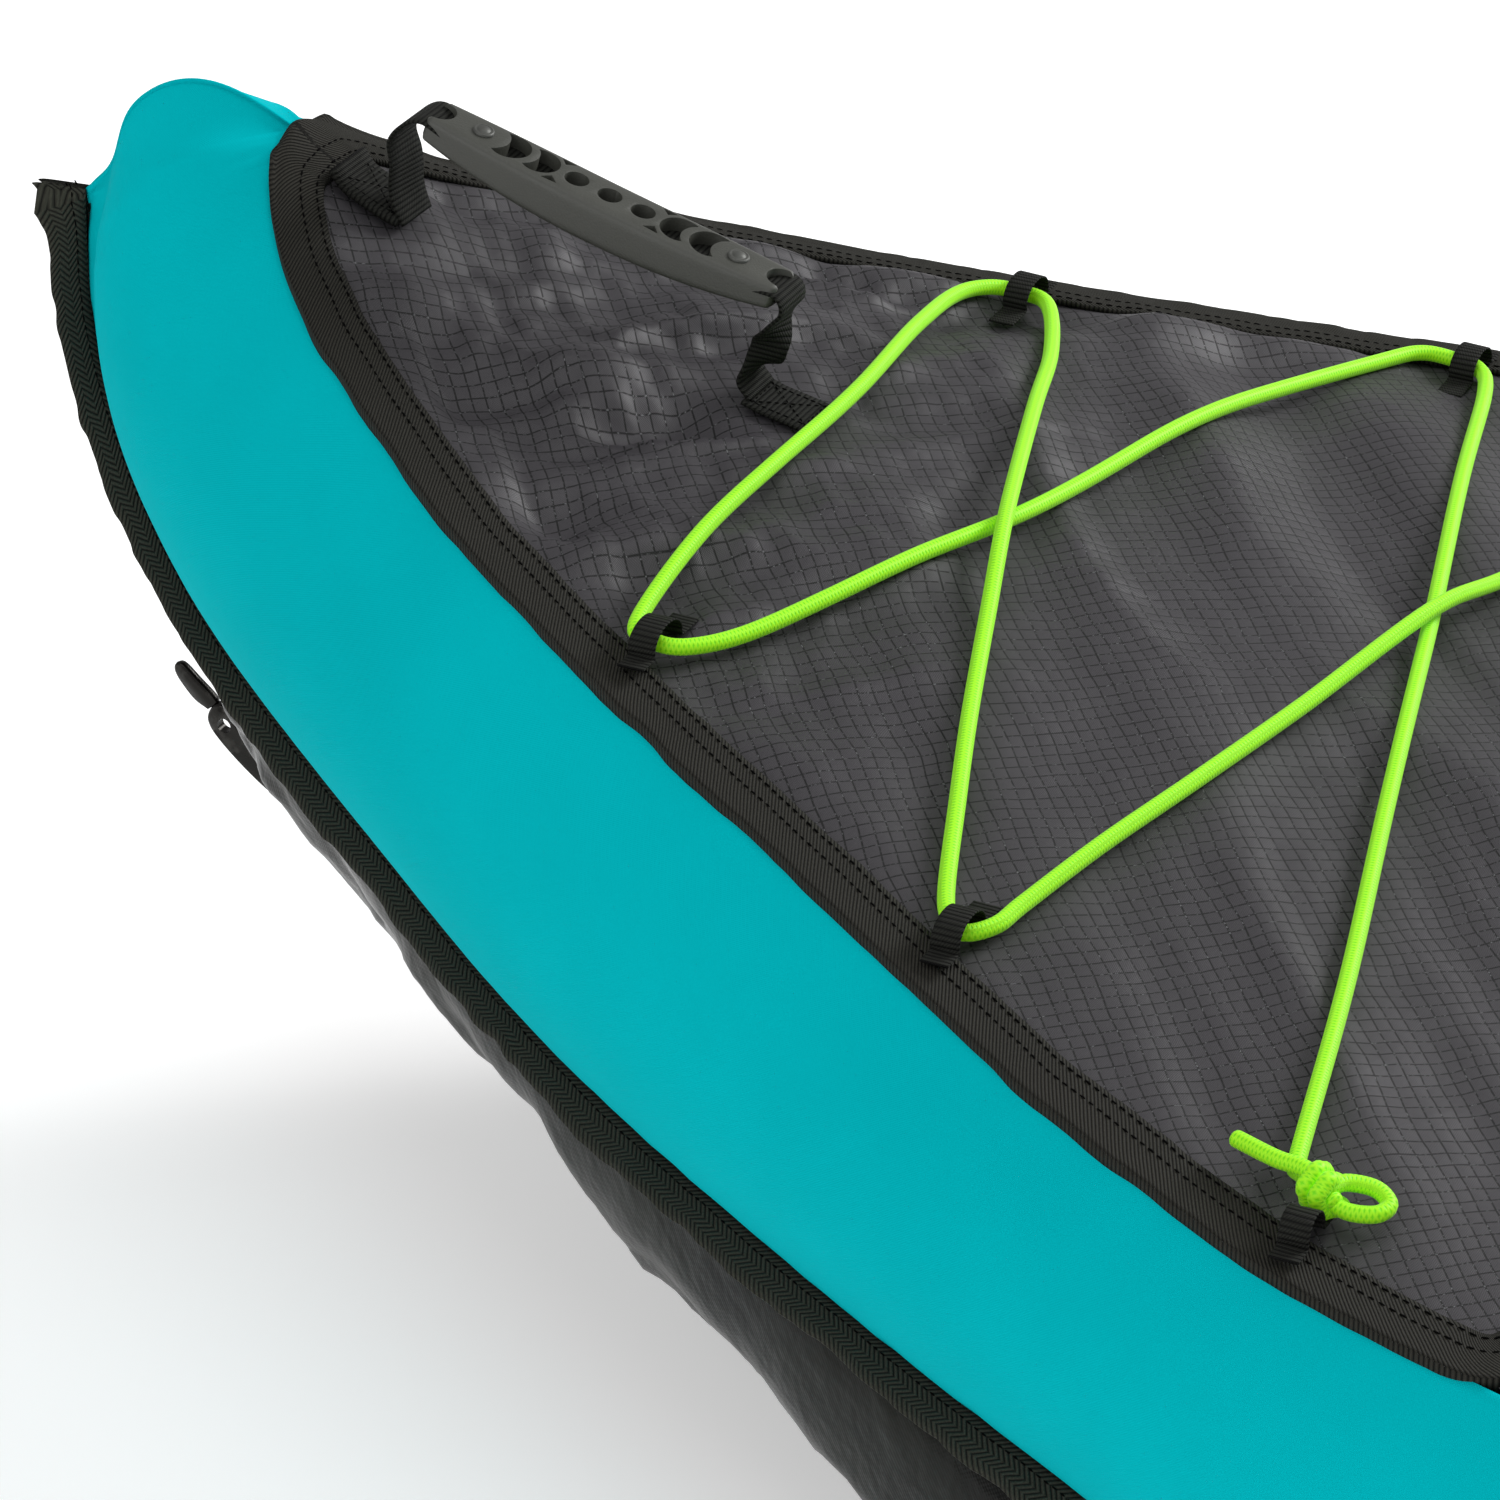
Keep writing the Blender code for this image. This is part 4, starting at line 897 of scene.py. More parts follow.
print("decks")
deck = {
    "rows": 230,
    "columns": 150,
    "sternRows": 90,
    "sternColumns": 60,
    "bed": 0.0012,       # under the nominal face, where the tape sits
    "thickness": 0.0008,
    "bow": 0.0088,       # height of the folds behind the nose
    "mid": 0.0048,       # height of the bias folds further aft
    "ridge": 0.0055,     # height of the fullness beside the port tape
}
webbingSeats = ((0.204, 0.030), (0.385, 0.034))  # station and half length of the sewn webbing
loopPlaces = ((0.412, 0.165), (0.575, 0.250), (0.737, 0.310))  # station and half breadth of the cord loops


def deckFolds(station, across):  # the cloth is slack behind the nose and pulled on the bias further aft
    half = fair(deckSeam, rowAt(station))[..., 1]
    bias = station * 0.73 - across * 0.68
    other = station * 0.68 + across * 0.73
    nose = np.exp(-(((station - 0.33) / 0.13) ** 2))
    billow = ripple(bias / 0.100, other / 0.044, 7) + 0.7 * ripple(bias / 0.055, other / 0.024, 8)
    bent = other / 0.044 + 0.5 * ripple(other / 0.06, bias / 0.05, 15)
    crease = 1 - 2.6 * np.abs(ripple(bent, bias / 0.13, 16))
    billow = billow + 0.6 * np.maximum(crease, 0) ** 1.2
    crumple = 0.22 * ripple(bias / 0.022, other / 0.011, 9) + 0.18 * ripple(bias / 0.008, other / 0.012, 13)
    slack = deck["bow"] * nose * (billow + crumple - 0.35)
    bend = bias + 0.018 * ripple(other / 0.12, bias / 0.10, 17)
    pull = ripple(bend / 0.042, other / 0.30, 10) + 0.5 * ripple(bend / 0.019, other / 0.14, 11)
    pull = pull + 1.2 * np.maximum(1 - 3.4 * np.abs(ripple(bend / 0.070, other / 0.32, 18)), 0)
    far = 0.45 + 0.55 * np.clip(0.5 - across / (2 * half), 0, 1)
    mid = deck["mid"] * (1 - nose * 0.6) * far * (pull - 0.3)
    small = 0.00035 * ripple(bias / 0.010, other / 0.014, 12)
    inside = np.clip((half - 0.017 - np.abs(across)) / 0.028, 0, 1) * np.clip((station - 0.185) / 0.03, 0, 1)
    inside = inside * np.clip((lines["deckEnd"] - 0.022 - station) / 0.03, 0, 1)
    inside = inside**2 * (3 - 2 * inside)
    for seat, reach in webbingSeats:
        away = np.hypot((station - seat) / reach, across / 0.024)
        inside = inside * np.clip((away - 0.75) / 0.7, 0.08, 1)
    inset = half + across
    ridge = deck["ridge"] * np.exp(-(((inset - 0.032) / 0.013) ** 2))
    ridge = ridge * (1 + 0.5 * ripple(station / 0.017, across * 0, 14))
    for loop, _ in loopPlaces:
        ridge = ridge * (1 - np.exp(-(((station - loop) / 0.03) ** 2)))
    ridge = ridge * np.clip((inset - 0.017) / 0.010, 0, 1) * np.clip((station - 0.20) / 0.05, 0, 1)
    ridge = ridge * np.clip((lines["deckEnd"] - 0.03 - station) / 0.05, 0, 1)
    return (slack + mid + small) * inside + ridge


def deckFace(station, across):
    return deckHeight(station, across) - deck["bed"] + deckFolds(station, across)


def deckCloth(name, end, rows, columns):
    at = np.linspace(0.0, float(rowAt(lines["deckEnd"] - 0.002)), rows)
    seam = fair(deckSeam, at)
    half = np.maximum(seam[:, 1] - 0.004, 0.0015)
    station = np.repeat(seam[:, :1], columns, 1)
    across = half[:, None] * np.linspace(-1, 1, columns)[None]
    grid = placed(np.stack([station, across, deckFace(station, across)], -1), end)
    uv = np.stack([station, across], -1)
    made = clothSheet(name + "Deck", grid, deck["thickness"], "ripstop", "hull", -end, uv)
    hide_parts(name + "_deck")


deckCloth("bow", 1, deck["rows"], deck["columns"])
deckCloth("stern", -1, deck["sternRows"], deck["sternColumns"])

print("bindings")
tape = {
    "width": 0.019,
    "thickness": 0.0013,
    "corner": 0.035,
    "rows": (0.58, 0.88),   # stitch rows, across the width
    "stitches": {"Pitch": 0.0042, "Stitch Length": 0.0027, "Thread Radius": 0.00042, "Seed": 3},
}


def deckOutline():  # outer edge of the tape round a deck: station and half breadth
    seam = fair(deckSeam, np.linspace(0.02, float(rowAt(lines["deckEnd"] - tape["corner"])), 420))[:, :2]
    turn = np.radians(np.arange(3, 91, 3))[:, None]
    corner = seam[-1] + np.concatenate([
        tape["corner"] * np.sin(turn),
        0.008 - tape["corner"] * (1 - np.cos(turn)) - 0.008 * (1 - np.sin(turn)),
    ], 1)
    edge = np.concatenate([seam, corner])
    across = np.stack([np.full(199, edge[-1, 0]), edge[-1, 1] * (1 - 2 * np.arange(1, 200) / 200)], -1)
    whole = np.concatenate([edge, across, edge[::-1] * (1, -1), [(deckSeam[0, 0], 0.0)]])
    lengths = lengthsAlong(np.concatenate([whole, whole[:1]]))
    even = np.linspace(0, lengths[-1], 901)[:-1]
    wrapped = np.concatenate([whole, whole[:1]])
    return np.stack([np.interp(even, lengths, wrapped[:, axis]) for axis in (0, 1)], -1), even


def deckTapes():
    outline, along = deckOutline()
    run = np.roll(outline, -1, 0) - np.roll(outline, 1, 0)
    run /= np.linalg.norm(run, axis=1, keepdims=True)
    inward = np.stack([run[:, 1], -run[:, 0]], -1)
    for name, end in (("bow", 1), ("stern", -1)):

        def tapePoint(share, lift):
            sway = 0.0006 * ripple(along / 0.02, share, 31)
            flat = outline + inward * (tape["width"] * share - 0.0022 * (1 - share) + sway)[:, None]
            station = np.maximum(flat[:, 0], deckSeam[0, 0] + 0.0005)
            wave = 0.0007 * ripple(along / 0.010, share * 1.5, 32) + 0.0005 * ripple(along / 0.028, share, 33)
            height = deckHeight(station, flat[:, 1]) + 0.0010 + lift
            height = height + np.abs(wave) * (0.3 + abs(share - 0.5))
            return placed(np.stack([flat[:, 0], flat[:, 1], height], -1), end)

        shares = np.linspace(0, 1, 11)
        crown = tape["thickness"] * (1 - 0.45 * (2 * np.abs(shares - 0.5)) ** 6)
        upper = [tapePoint(s, c) for s, c in zip(shares, crown)]
        lower = [tapePoint(s, -0.0016 - 0.0050 * max(0.0, 1 - s / 0.15)) for s in shares[::-1]]
        sections = np.stack(upper + lower, 1)
        across = np.concatenate([shares, shares[::-1]]) * tape["width"]
        uv = np.stack(np.broadcast_arrays(along[:, None], across[None]), -1)
        made = ringed(name + "DeckTape", sections, "tape", "hull", True, uv)
        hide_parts(name + "_deck_binding")
        rows = [tapePoint(share, tape["thickness"] + 0.00005) for share in tape["rows"]]
        rows = [np.concatenate([row, row[:1]]) for row in rows]
        sew(name + "TapeStitches", rows, tape["stitches"], "thread", "hull")


deckTapes()

seam = {
    "standoff": 0.0010,
    "reach": 0.0150,
    "thickness": 0.0040,
    "stitches": {"Pitch": 0.0040, "Stitch Length": 0.0026, "Thread Radius": 0.00035, "Seed": 5},
}


def seamBindings():
    halfRows = lastRow * np.linspace(0, 1, 420) ** 1.1
    rows, ends = wholeLength(halfRows)
    top, low, out = sideFrame(rows)
    outward = out * 0.75 + np.array([-0.15, 0.25, -0.55]) * np.minimum(1.0, rows / 2)[:, None]
    stem = np.exp(-rows / 0.45)[:, None]
    outward = outward + np.array([-1.3, 0.0, -0.75]) * stem
    outward /= np.linalg.norm(outward, axis=1, keepdims=True)
    upward = (top - low) / np.linalg.norm(top - low, axis=1, keepdims=True)
    along = lengthsAlong(placed(low, ends))
    profile = ((0.0, -0.62), (0.25, -0.60), (0.55, -0.56), (0.82, -0.50), (0.95, -0.34), (1.0, 0.0),
               (0.95, 0.34), (0.82, 0.50), (0.55, 0.56), (0.25, 0.60), (0.0, 0.62), (-0.12, 0.0))
    for name, side in (("port", 1), ("starboard", -1)):
        scallop = 0.0008 * ripple(along / 0.0075, 0 * along, 51 + side)
        scallop = scallop + 0.0008 * ripple(along / 0.03, 0 * along, 53)
        sway = 0.0012 * ripple(along / 0.013, 0 * along, 55 + side)
        sway = sway + 0.0010 * ripple(along / 0.05, 0 * along, 57)

        def flangePoint(reach, rise, proud=0.0):
            wide = seam["reach"] + scallop + 0.0060 * np.exp(-rows / 0.10)
            point = low + outward * (seam["standoff"] + reach * wide)[:, None]
            swell = rise * seam["thickness"] + reach * sway + proud * np.sign(rise)
            point = point + upward * swell[:, None]
            point[:, 1] = np.maximum(point[:, 1], 0.0006) * side
            return placed(point, ends)

        sections = np.stack([flangePoint(reach, rise) for reach, rise in profile], 1)
        around = np.cumsum([0.0, 0.0033, 0.004, 0.0036, 0.0018, 0.0011, 0.0011, 0.0018, 0.0036, 0.004,
            0.0033, 0.002])
        uv = np.stack(np.broadcast_arrays(along[:, None], around[None]), -1)
        made = ringed(name + "SeamBinding", sections, "binding", "hull", False, uv)
        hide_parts(name + "_seam_binding")
        stitchRows = [flangePoint(0.30, 0.60, 0.0001), flangePoint(0.30, -0.60, 0.0001)]
        sew(name + "SeamStitches", stitchRows, seam["stitches"], "thread", "hull")


seamBindings()

print("bungee")
cordRoute = (  # station, half breadth and lift of the cord, from the port knot to the starboard knot
    (0.7233, 0.2987, 0.0020), (0.702, 0.203, 0.0), (0.675, 0.098, 0.0), (0.644, -0.024, 0.0),
    (0.614, -0.135, 0.0), (0.591, -0.222, 0.0), (0.580, -0.245, 0.001), (0.567, -0.2475, 0.001),
    (0.555, -0.243, 0.001), (0.546, -0.225, 0.0), (0.527, -0.162, 0.0), (0.510, -0.091, 0.0),
    (0.490, 0.010, 0.0), (0.471, 0.065, 0.0), (0.455, 0.107, 0.0), (0.438, 0.143, 0.0),
    (0.424, 0.161, 0.001), (0.412, 0.1645, 0.001), (0.402, 0.158, 0.001), (0.3995, 0.104, 0.0),
    (0.402, 0.045, 0.0), (0.403, -0.030, 0.0), (0.396, -0.095, 0.0), (0.392, -0.136, 0.0),
    (0.398, -0.156, 0.001), (0.411, -0.1635, 0.001), (0.425, -0.157, 0.001), (0.445, -0.115, 0.0),
    (0.462, -0.062, 0.002), (0.489, 0.022, 0.008), (0.508, 0.080, 0.002), (0.528, 0.139, 0.0),
    (0.546, 0.188, 0.0), (0.561, 0.228, 0.0), (0.569, 0.243, 0.001), (0.577, 0.2475, 0.001),
    (0.585, 0.238, 0.001), (0.588, 0.221, 0.0), (0.598, 0.177, 0.0), (0.612, 0.121, 0.0),
    (0.626, 0.060, 0.002), (0.644, -0.024, 0.008), (0.656, -0.075, 0.002), (0.680, -0.160, 0.0),
    (0.704, -0.235, 0.0), (0.7233, -0.2987, 0.0020),
)
bungee = {
    "diameter": 0.0064,
    "loopWidth": 0.0105,
    "lift": 0.0037,          # of its middle over the fair deck
}


def deckCord():
    station, across, up = np.array(cordRoute).T
    height = deckHeight(station, across) + bungee["lift"] + up
    path = smoothPath(placed(np.stack([station, across, height], -1)), 0.0022)
    station, across = halfLength - path[:, 0], path[:, 1]
    lift = np.maximum(deckFace(station, across) + bungee["diameter"] / 2 - path[:, 2], 0.0)
    reach = np.arange(-40, 41)
    crest = np.max([np.roll(lift, step) for step in range(-15, 16)], axis=0)
    weights = np.exp(-((reach / 17.0) ** 2))
    path[:, 2] += np.convolve(crest, weights / weights.sum(), mode="same")
    made = tube("deckBungee", path, bungee["diameter"] / 2, "cord", "hull", 18)
    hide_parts("bow_bungee_cord")


def cordKnot(name, side):  # stopper knot with a small bow and a cut tail
    def at(station, across, lift):
        place = [station, across * side, float(deckHeight(station, across)) + lift]
        return Vector(placed(np.array(place)).tolist())

    middle = at(0.7375, 0.3095, 0.0105)
    inward = (at(0.725, 0.303, 0.0105) - middle).normalized()
    across = Vector((inward.y, -inward.x, 0)).normalized()
    up = inward.cross(across).normalized()
    if up.z < 0:
        up = -up
    radius = bungee["diameter"] / 2
    coil = []
    for step in range(44):
        share = step / 43
        turn = 2 * math.pi * (1.9 * share)
        reach = 0.0052 + 0.0006 * math.sin(5 * turn)
        aside = across * reach * math.cos(turn) + up * reach * math.sin(turn)
        coil.append(middle + inward * (0.0060 - 0.0115 * share) + aside)
    pieces = [tube(name + "Coil", coil, radius * 0.98, "cord", None, 14)]
    standing = [at(0.7233, 0.2987, 0.0055), middle + inward * 0.004, middle - inward * 0.006]
    standing = smoothPath(standing, 0.0015)
    pieces.append(tube(name + "Standing", standing, radius, "cord", None, 14))
    bow = [middle - inward * 0.002 + up * 0.003, at(0.7440, 0.3040, 0.0125), at(0.7530, 0.3010, 0.0115),
           at(0.7590, 0.3040, 0.0100), at(0.7570, 0.3100, 0.0095), at(0.7480, 0.3125, 0.0085),
           middle - inward * 0.003 - up * 0.002]
    pieces.append(tube(name + "Bow", smoothPath(bow, 0.0012), radius * 0.95, "cord", None, 14))
    tail = [middle + up * 0.004 - inward * 0.001, at(0.7290, 0.3060, 0.0135), at(0.7180, 0.3040, 0.0115),
        at(0.7020, 0.2990, 0.0090)]
    pieces.append(tube(name + "Tail", smoothPath(tail, 0.0012), radius * 0.97, "cord", None, 14))
    for piece in pieces:
        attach(piece, "hull")
    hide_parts("bungee_knot_" + name)


def cordLoops():
    for number, (station, half) in enumerate(loopPlaces, 1):
        for name, side in (("port", 1), ("starboard", -1)):
            last = number == len(loopPlaces)
            middle = half + (0.0165 if last else -0.0018)
            reach = 0.0075 if last else 0.0112
            base = float(deckHeight(station, min(middle, half))) + 0.0022
            foot = reach + 0.005
            path = [(station, side * (middle + foot * k), base + 0.0002 * k) for k in (1.22, 1.08)]
            for angle in range(0, 181, 12):
                turn = math.radians(angle)
                height = base + 0.0005 + 0.0098 * math.sin(turn) ** 0.8
                path.append((station, side * (middle + reach * math.cos(turn)), height))
            path += [(station, side * (middle - foot * k), base + 0.0002) for k in (1.15, 1.5)]
            points = smoothPath(placed(np.array(path)), 0.001)
            width = bungee["loopWidth"]
            made = band(f"{name}Loop{number}", points, (1, 0.06 * side, 0), width, 0.0009, "webbing", "hull")
            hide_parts(f"bungee_loop_{name}_{number}")


deckCord()
cordKnot("port", 1)
cordKnot("starboard", -1)
cordLoops()

print("handles")
grip = {
    "front": (0.231, 0.443),   # station and height of its ends, along the middle
    "rear": (0.383, 0.401),
    "halfWidth": 0.0132,
    "halfDepth": 0.0084,
    "sag": 0.0045,
    "holes": (-0.015, 0.0, 0.015),
    "holeRadius": 0.0050,
    "pocket": 0.0078,          # depth of the crescents, down to the webbing
    "webbing": 0.0205,
    "stitches": {"Pitch": 0.0030, "Stitch Length": 0.0021, "Thread Radius": 0.0003, "Seed": 8},
}


def gripFrame():
    front = np.array([grip["front"][0], 0.0, grip["front"][1]])
    rear = np.array([grip["rear"][0], 0.0, grip["rear"][1]])
    length = np.linalg.norm(rear - front)
    along = (rear - front) / length
    above = np.array([-along[2], 0.0, along[0]])
    return (front + rear) / 2, along, np.array([0.0, 1.0, 0.0]), above, length


def gripShape(share):  # half width, half depth and rise of the grip's section, share from -1 to 1
    width = grip["halfWidth"] * (1 - 0.24 * np.abs(share) ** 2.6)
    depth = grip["halfDepth"] * (1 - 0.42 * np.abs(share) ** 2.2)
    return width, depth, -grip["sag"] * (1 - share**2)


def prism(name, outline, low, high):  # straight-sided cutter over an outline in the grip's own plane
    outline = np.asarray(outline, float)
    ring = [np.concatenate([outline, np.full((len(outline), 1), z)], 1) for z in (low, high)]
    return ringed(name, ring, "grip", None)


def crescent(middle, radius, biteMiddle, bite):  # the part of a disc that a second disc leaves
    apart = biteMiddle - middle
    meet = (apart**2 + radius**2 - bite**2) / (2 * apart)
    first = math.acos(meet / radius)
    second = math.atan2(math.sqrt(radius**2 - meet**2), meet - apart)
    outer = np.linspace(first, 2 * math.pi - first, 60)
    inner = np.linspace(2 * math.pi - second, second, 40)[1:-1]
    disc = np.stack([middle + radius * np.cos(outer), radius * np.sin(outer)], -1)
    return np.concatenate([disc, np.stack([biteMiddle + bite * np.cos(inner), bite * np.sin(inner)], -1)])


def gripBody():
    shares = np.sin(np.linspace(-1, 1, 61) * math.pi / 2)
    _, _, _, _, length = gripFrame()
    sections = []
    for share in shares:
        width, depth, rise = gripShape(share)
        angle = 2 * math.pi * (np.arange(40) + 0.5) / 40
        across = np.sign(np.cos(angle)) * np.abs(np.cos(angle)) ** 0.34 * width
        height = np.sign(np.sin(angle)) * np.abs(np.sin(angle)) ** 0.34 * depth
        across = across * (1 + 0.10 * np.clip(-height / depth, -1, 1))
        end = 1 - 0.18 * max(0.0, (abs(share) - 0.985) / 0.015)
        sections.append(np.stack([np.full(40, share * length / 2), across * end, rise + height * end], -1))
    body = ringed("grip", sections, "grip", None)
    cutters = []
    for middle in grip["holes"]:
        angle = np.linspace(0, 2 * math.pi, 48, endpoint=False)
        _, depth, rise = gripShape(2 * middle / length)
        disc = [middle + grip["holeRadius"] * np.cos(angle), grip["holeRadius"] * np.sin(angle)]
        disc = np.stack(disc, -1)
        cutters.append(prism("hole", disc, rise + depth - 0.0085, 0.03))
    for side in (-1, 1):
        for middle, radius, biteMiddle, bite in (
            (0.0455, 0.0088, 0.0560, 0.0096), (0.0318, 0.0084, 0.0425, 0.0096),
            (0.0775, 0.0066, 0.0905, 0.0085),
        ):
            _, depth, rise = gripShape(2 * middle / length)
            outline = crescent(middle, radius, biteMiddle, bite) * (side, 1)
            cutters.append(prism("crescent", outline, rise + depth - grip["pocket"], 0.03))
        for lateral in (-1, 1):
            _, depth, rise = gripShape(0.29)
            pit = [(0.0195, 0.0088), (0.0265, 0.0092), (0.0232, 0.0056)]
            outline = [(side * x, lateral * y) for x, y in pit]
            cutters.append(prism("pit", outline, rise + depth - 0.0025, 0.03))
    carve(body, cutters)
    return roundEdges(body, 0.00045, 2, 38)


def fromGrip(points, end):
    middle, along, across, above, _ = gripFrame()
    points = np.asarray(points, float)
    world = middle + points[..., :1] * along + points[..., 1:2] * across + points[..., 2:3] * above
    return placed(world, end)


def handle(name, end, shape):
    middle, along, _, above, length = gripFrame()
    body = bpy.data.objects.new(name + "HandleGrip", shape.copy())
    bpy.context.scene.collection.objects.link(body)
    points = np.empty(len(body.data.vertices) * 3)
    body.data.vertices.foreach_get("co", points)
    body.data.vertices.foreach_set("co", fromGrip(points.reshape(-1, 3), end).ravel())
    outwardFaces(body)
    body.data.set_sharp_from_angle(angle=math.radians(42))
    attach(body, name + "_handle")
    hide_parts(name + "_handle_grip")
    profile = ((0.0, -0.0006), (0.0043, -0.0006), (0.0045, 0.0003), (0.0041, 0.0010), (0.0034, 0.0013),
        (0.0030, 0.0009),
               (0.0026, 0.0013), (0.0015, 0.0019), (0.0, 0.0020))
    for tag, side in (("front", -1), ("rear", 1)):
        spot = 0.0577 * side
        _, depth, rise = gripShape(2 * spot / length)
        seat = fromGrip((spot, 0.0, rise + depth), end)
        axis = fromGrip((spot, 0.0, 1.0), end) - fromGrip((spot, 0.0, 0.0), end)
        sections = [(max(radius, 0.00002), height) for radius, height in profile]
        made = spun(f"{name}{tag.title()}Rivet", sections, seat, axis, "rivet", name + "_handle", 36)
        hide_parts(f"{name}_handle_{tag}_rivet")
    feet = {}
    for tag, station in (("front", 0.220), ("rear", 0.372)):
        feet[tag] = np.array([station, 0.0, float(deckHeight(station, 0.0)) + 0.0035])

    def inGrip(x, z):
        return middle + along * x + above * z

    half = length / 2
    path = [
        feet["front"] + (0.001, 0, -0.0008), feet["front"] + (-0.003, 0, 0.010),
        feet["front"] + (-0.003, 0, 0.024),
        inGrip(-half - 0.0125, -0.0125), inGrip(-half - 0.0085, -0.0030), inGrip(-half - 0.001, 0.0020),
        inGrip(-half + 0.012, -0.0006),
        inGrip(-0.045, -0.0024), inGrip(0.0, -0.0030), inGrip(0.045, -0.0024), inGrip(half - 0.012, -0.0006),
        inGrip(half + 0.0005, 0.0016),
        inGrip(half + 0.0050, -0.0042), feet["rear"] + (0.0085, 0, 0.030), feet["rear"] + (0.0035, 0, 0.0145),
        feet["rear"] + (-0.0035, 0, 0.0060), feet["rear"] + (0.001, 0, -0.0008),
    ]
    fine = placed(smoothPath(path, 0.0014), end)
    share = np.linspace(0, 1, len(fine))
    twist = 1.15 * np.exp(-(((share - 0.915) / 0.030) ** 2)) - 0.16 * np.exp(-(((share - 0.06) / 0.05) ** 2))
    run = directions(fine)
    face = np.cross(run, (0, 1, 0))
    face /= np.linalg.norm(face, axis=1, keepdims=True)
    sides = np.array([0.0, 1.0, 0.0]) * np.cos(twist)[:, None] + face * np.sin(twist)[:, None]
    gather = 0.32 * np.exp(-(((share - 0.915) / 0.035) ** 2)) + 0.10 * np.exp(-(((share - 0.5) / 0.2) ** 2))
    gathered = grip["webbing"] * (1 - gather)
    made = band(name + "HandleWebbing", fine, sides, gathered, 0.0015, "webbing", None)
    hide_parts(name + "_handle_webbing")
    low, far = placed(feet["front"], end), placed(feet["rear"], end)
    rising = np.array([low[2] - far[2], 0.0, far[0] - low[0]])
    rising *= math.copysign(1 / np.linalg.norm(rising), rising[2])
    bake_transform(made)
    for tag, first, last, layers in (("front", 0.190, 0.2185, 2), ("rear", 0.3705, 0.400, 1)):
        station = np.linspace(first, last, 26)
        lift = 0.0012 + 0.0016 * (layers - 1)
        rise = 0.0006 * ripple(station / 0.010, station * 0, 71)
        if tag == "front":
            rise = rise + 0.0045 * np.clip((0.197 - station) / 0.007, 0, 1) ** 2
        height = np.maximum(deckHeight(station, 0 * station), deckFace(station, 0 * station)) + lift + rise
        points = placed(np.stack([station, 0 * station, height], -1), end)
        thickness = 0.0018 * layers
        patch = band(f"{name}{tag.title()}Patch", points, (0, 1, 0), 0.0235, thickness, "webbing", "hull")
        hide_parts(f"{name}_handle_{tag}_patch")
        box = []
        for side in (-0.0088, 0.0088):
            box.append(points[2:-2] + (0, side, 0.0009 * layers + 0.0001))
        for row in (3, 22):
            width = np.linspace(-0.0088, 0.0088, 12)[:, None] * np.array([[0, 1, 0]])
            box.append(points[row] + (0, 0, 0.0009 * layers + 0.0001) + width)
        cross = np.linspace(0, 1, 24)[:, None]
        for side in (-1, 1):
            line = points[3] * (1 - cross) + points[22] * cross
            aside = side * 0.0088 * (1 - 2 * cross[:, 0])
            box.append(line + np.stack([0 * aside, aside, np.full(24, 0.0009 * layers + 0.0002)], -1))
        sew(f"{name}{tag.title()}PatchStitches", box, grip["stitches"], "thread", "hull")


gripPiece = gripBody()
for handleName, handleEnd in (("bow", 1), ("stern", -1)):
    handle(handleName, handleEnd, gripPiece.data)
bpy.data.objects.remove(gripPiece, do_unlink=True)


print("tow fitting")
tow = {"ring": (0.160, 0.0, 0.108), "tip": (0.094, 0.0, 0.168), "major": 0.0085, "minor": 0.0019}


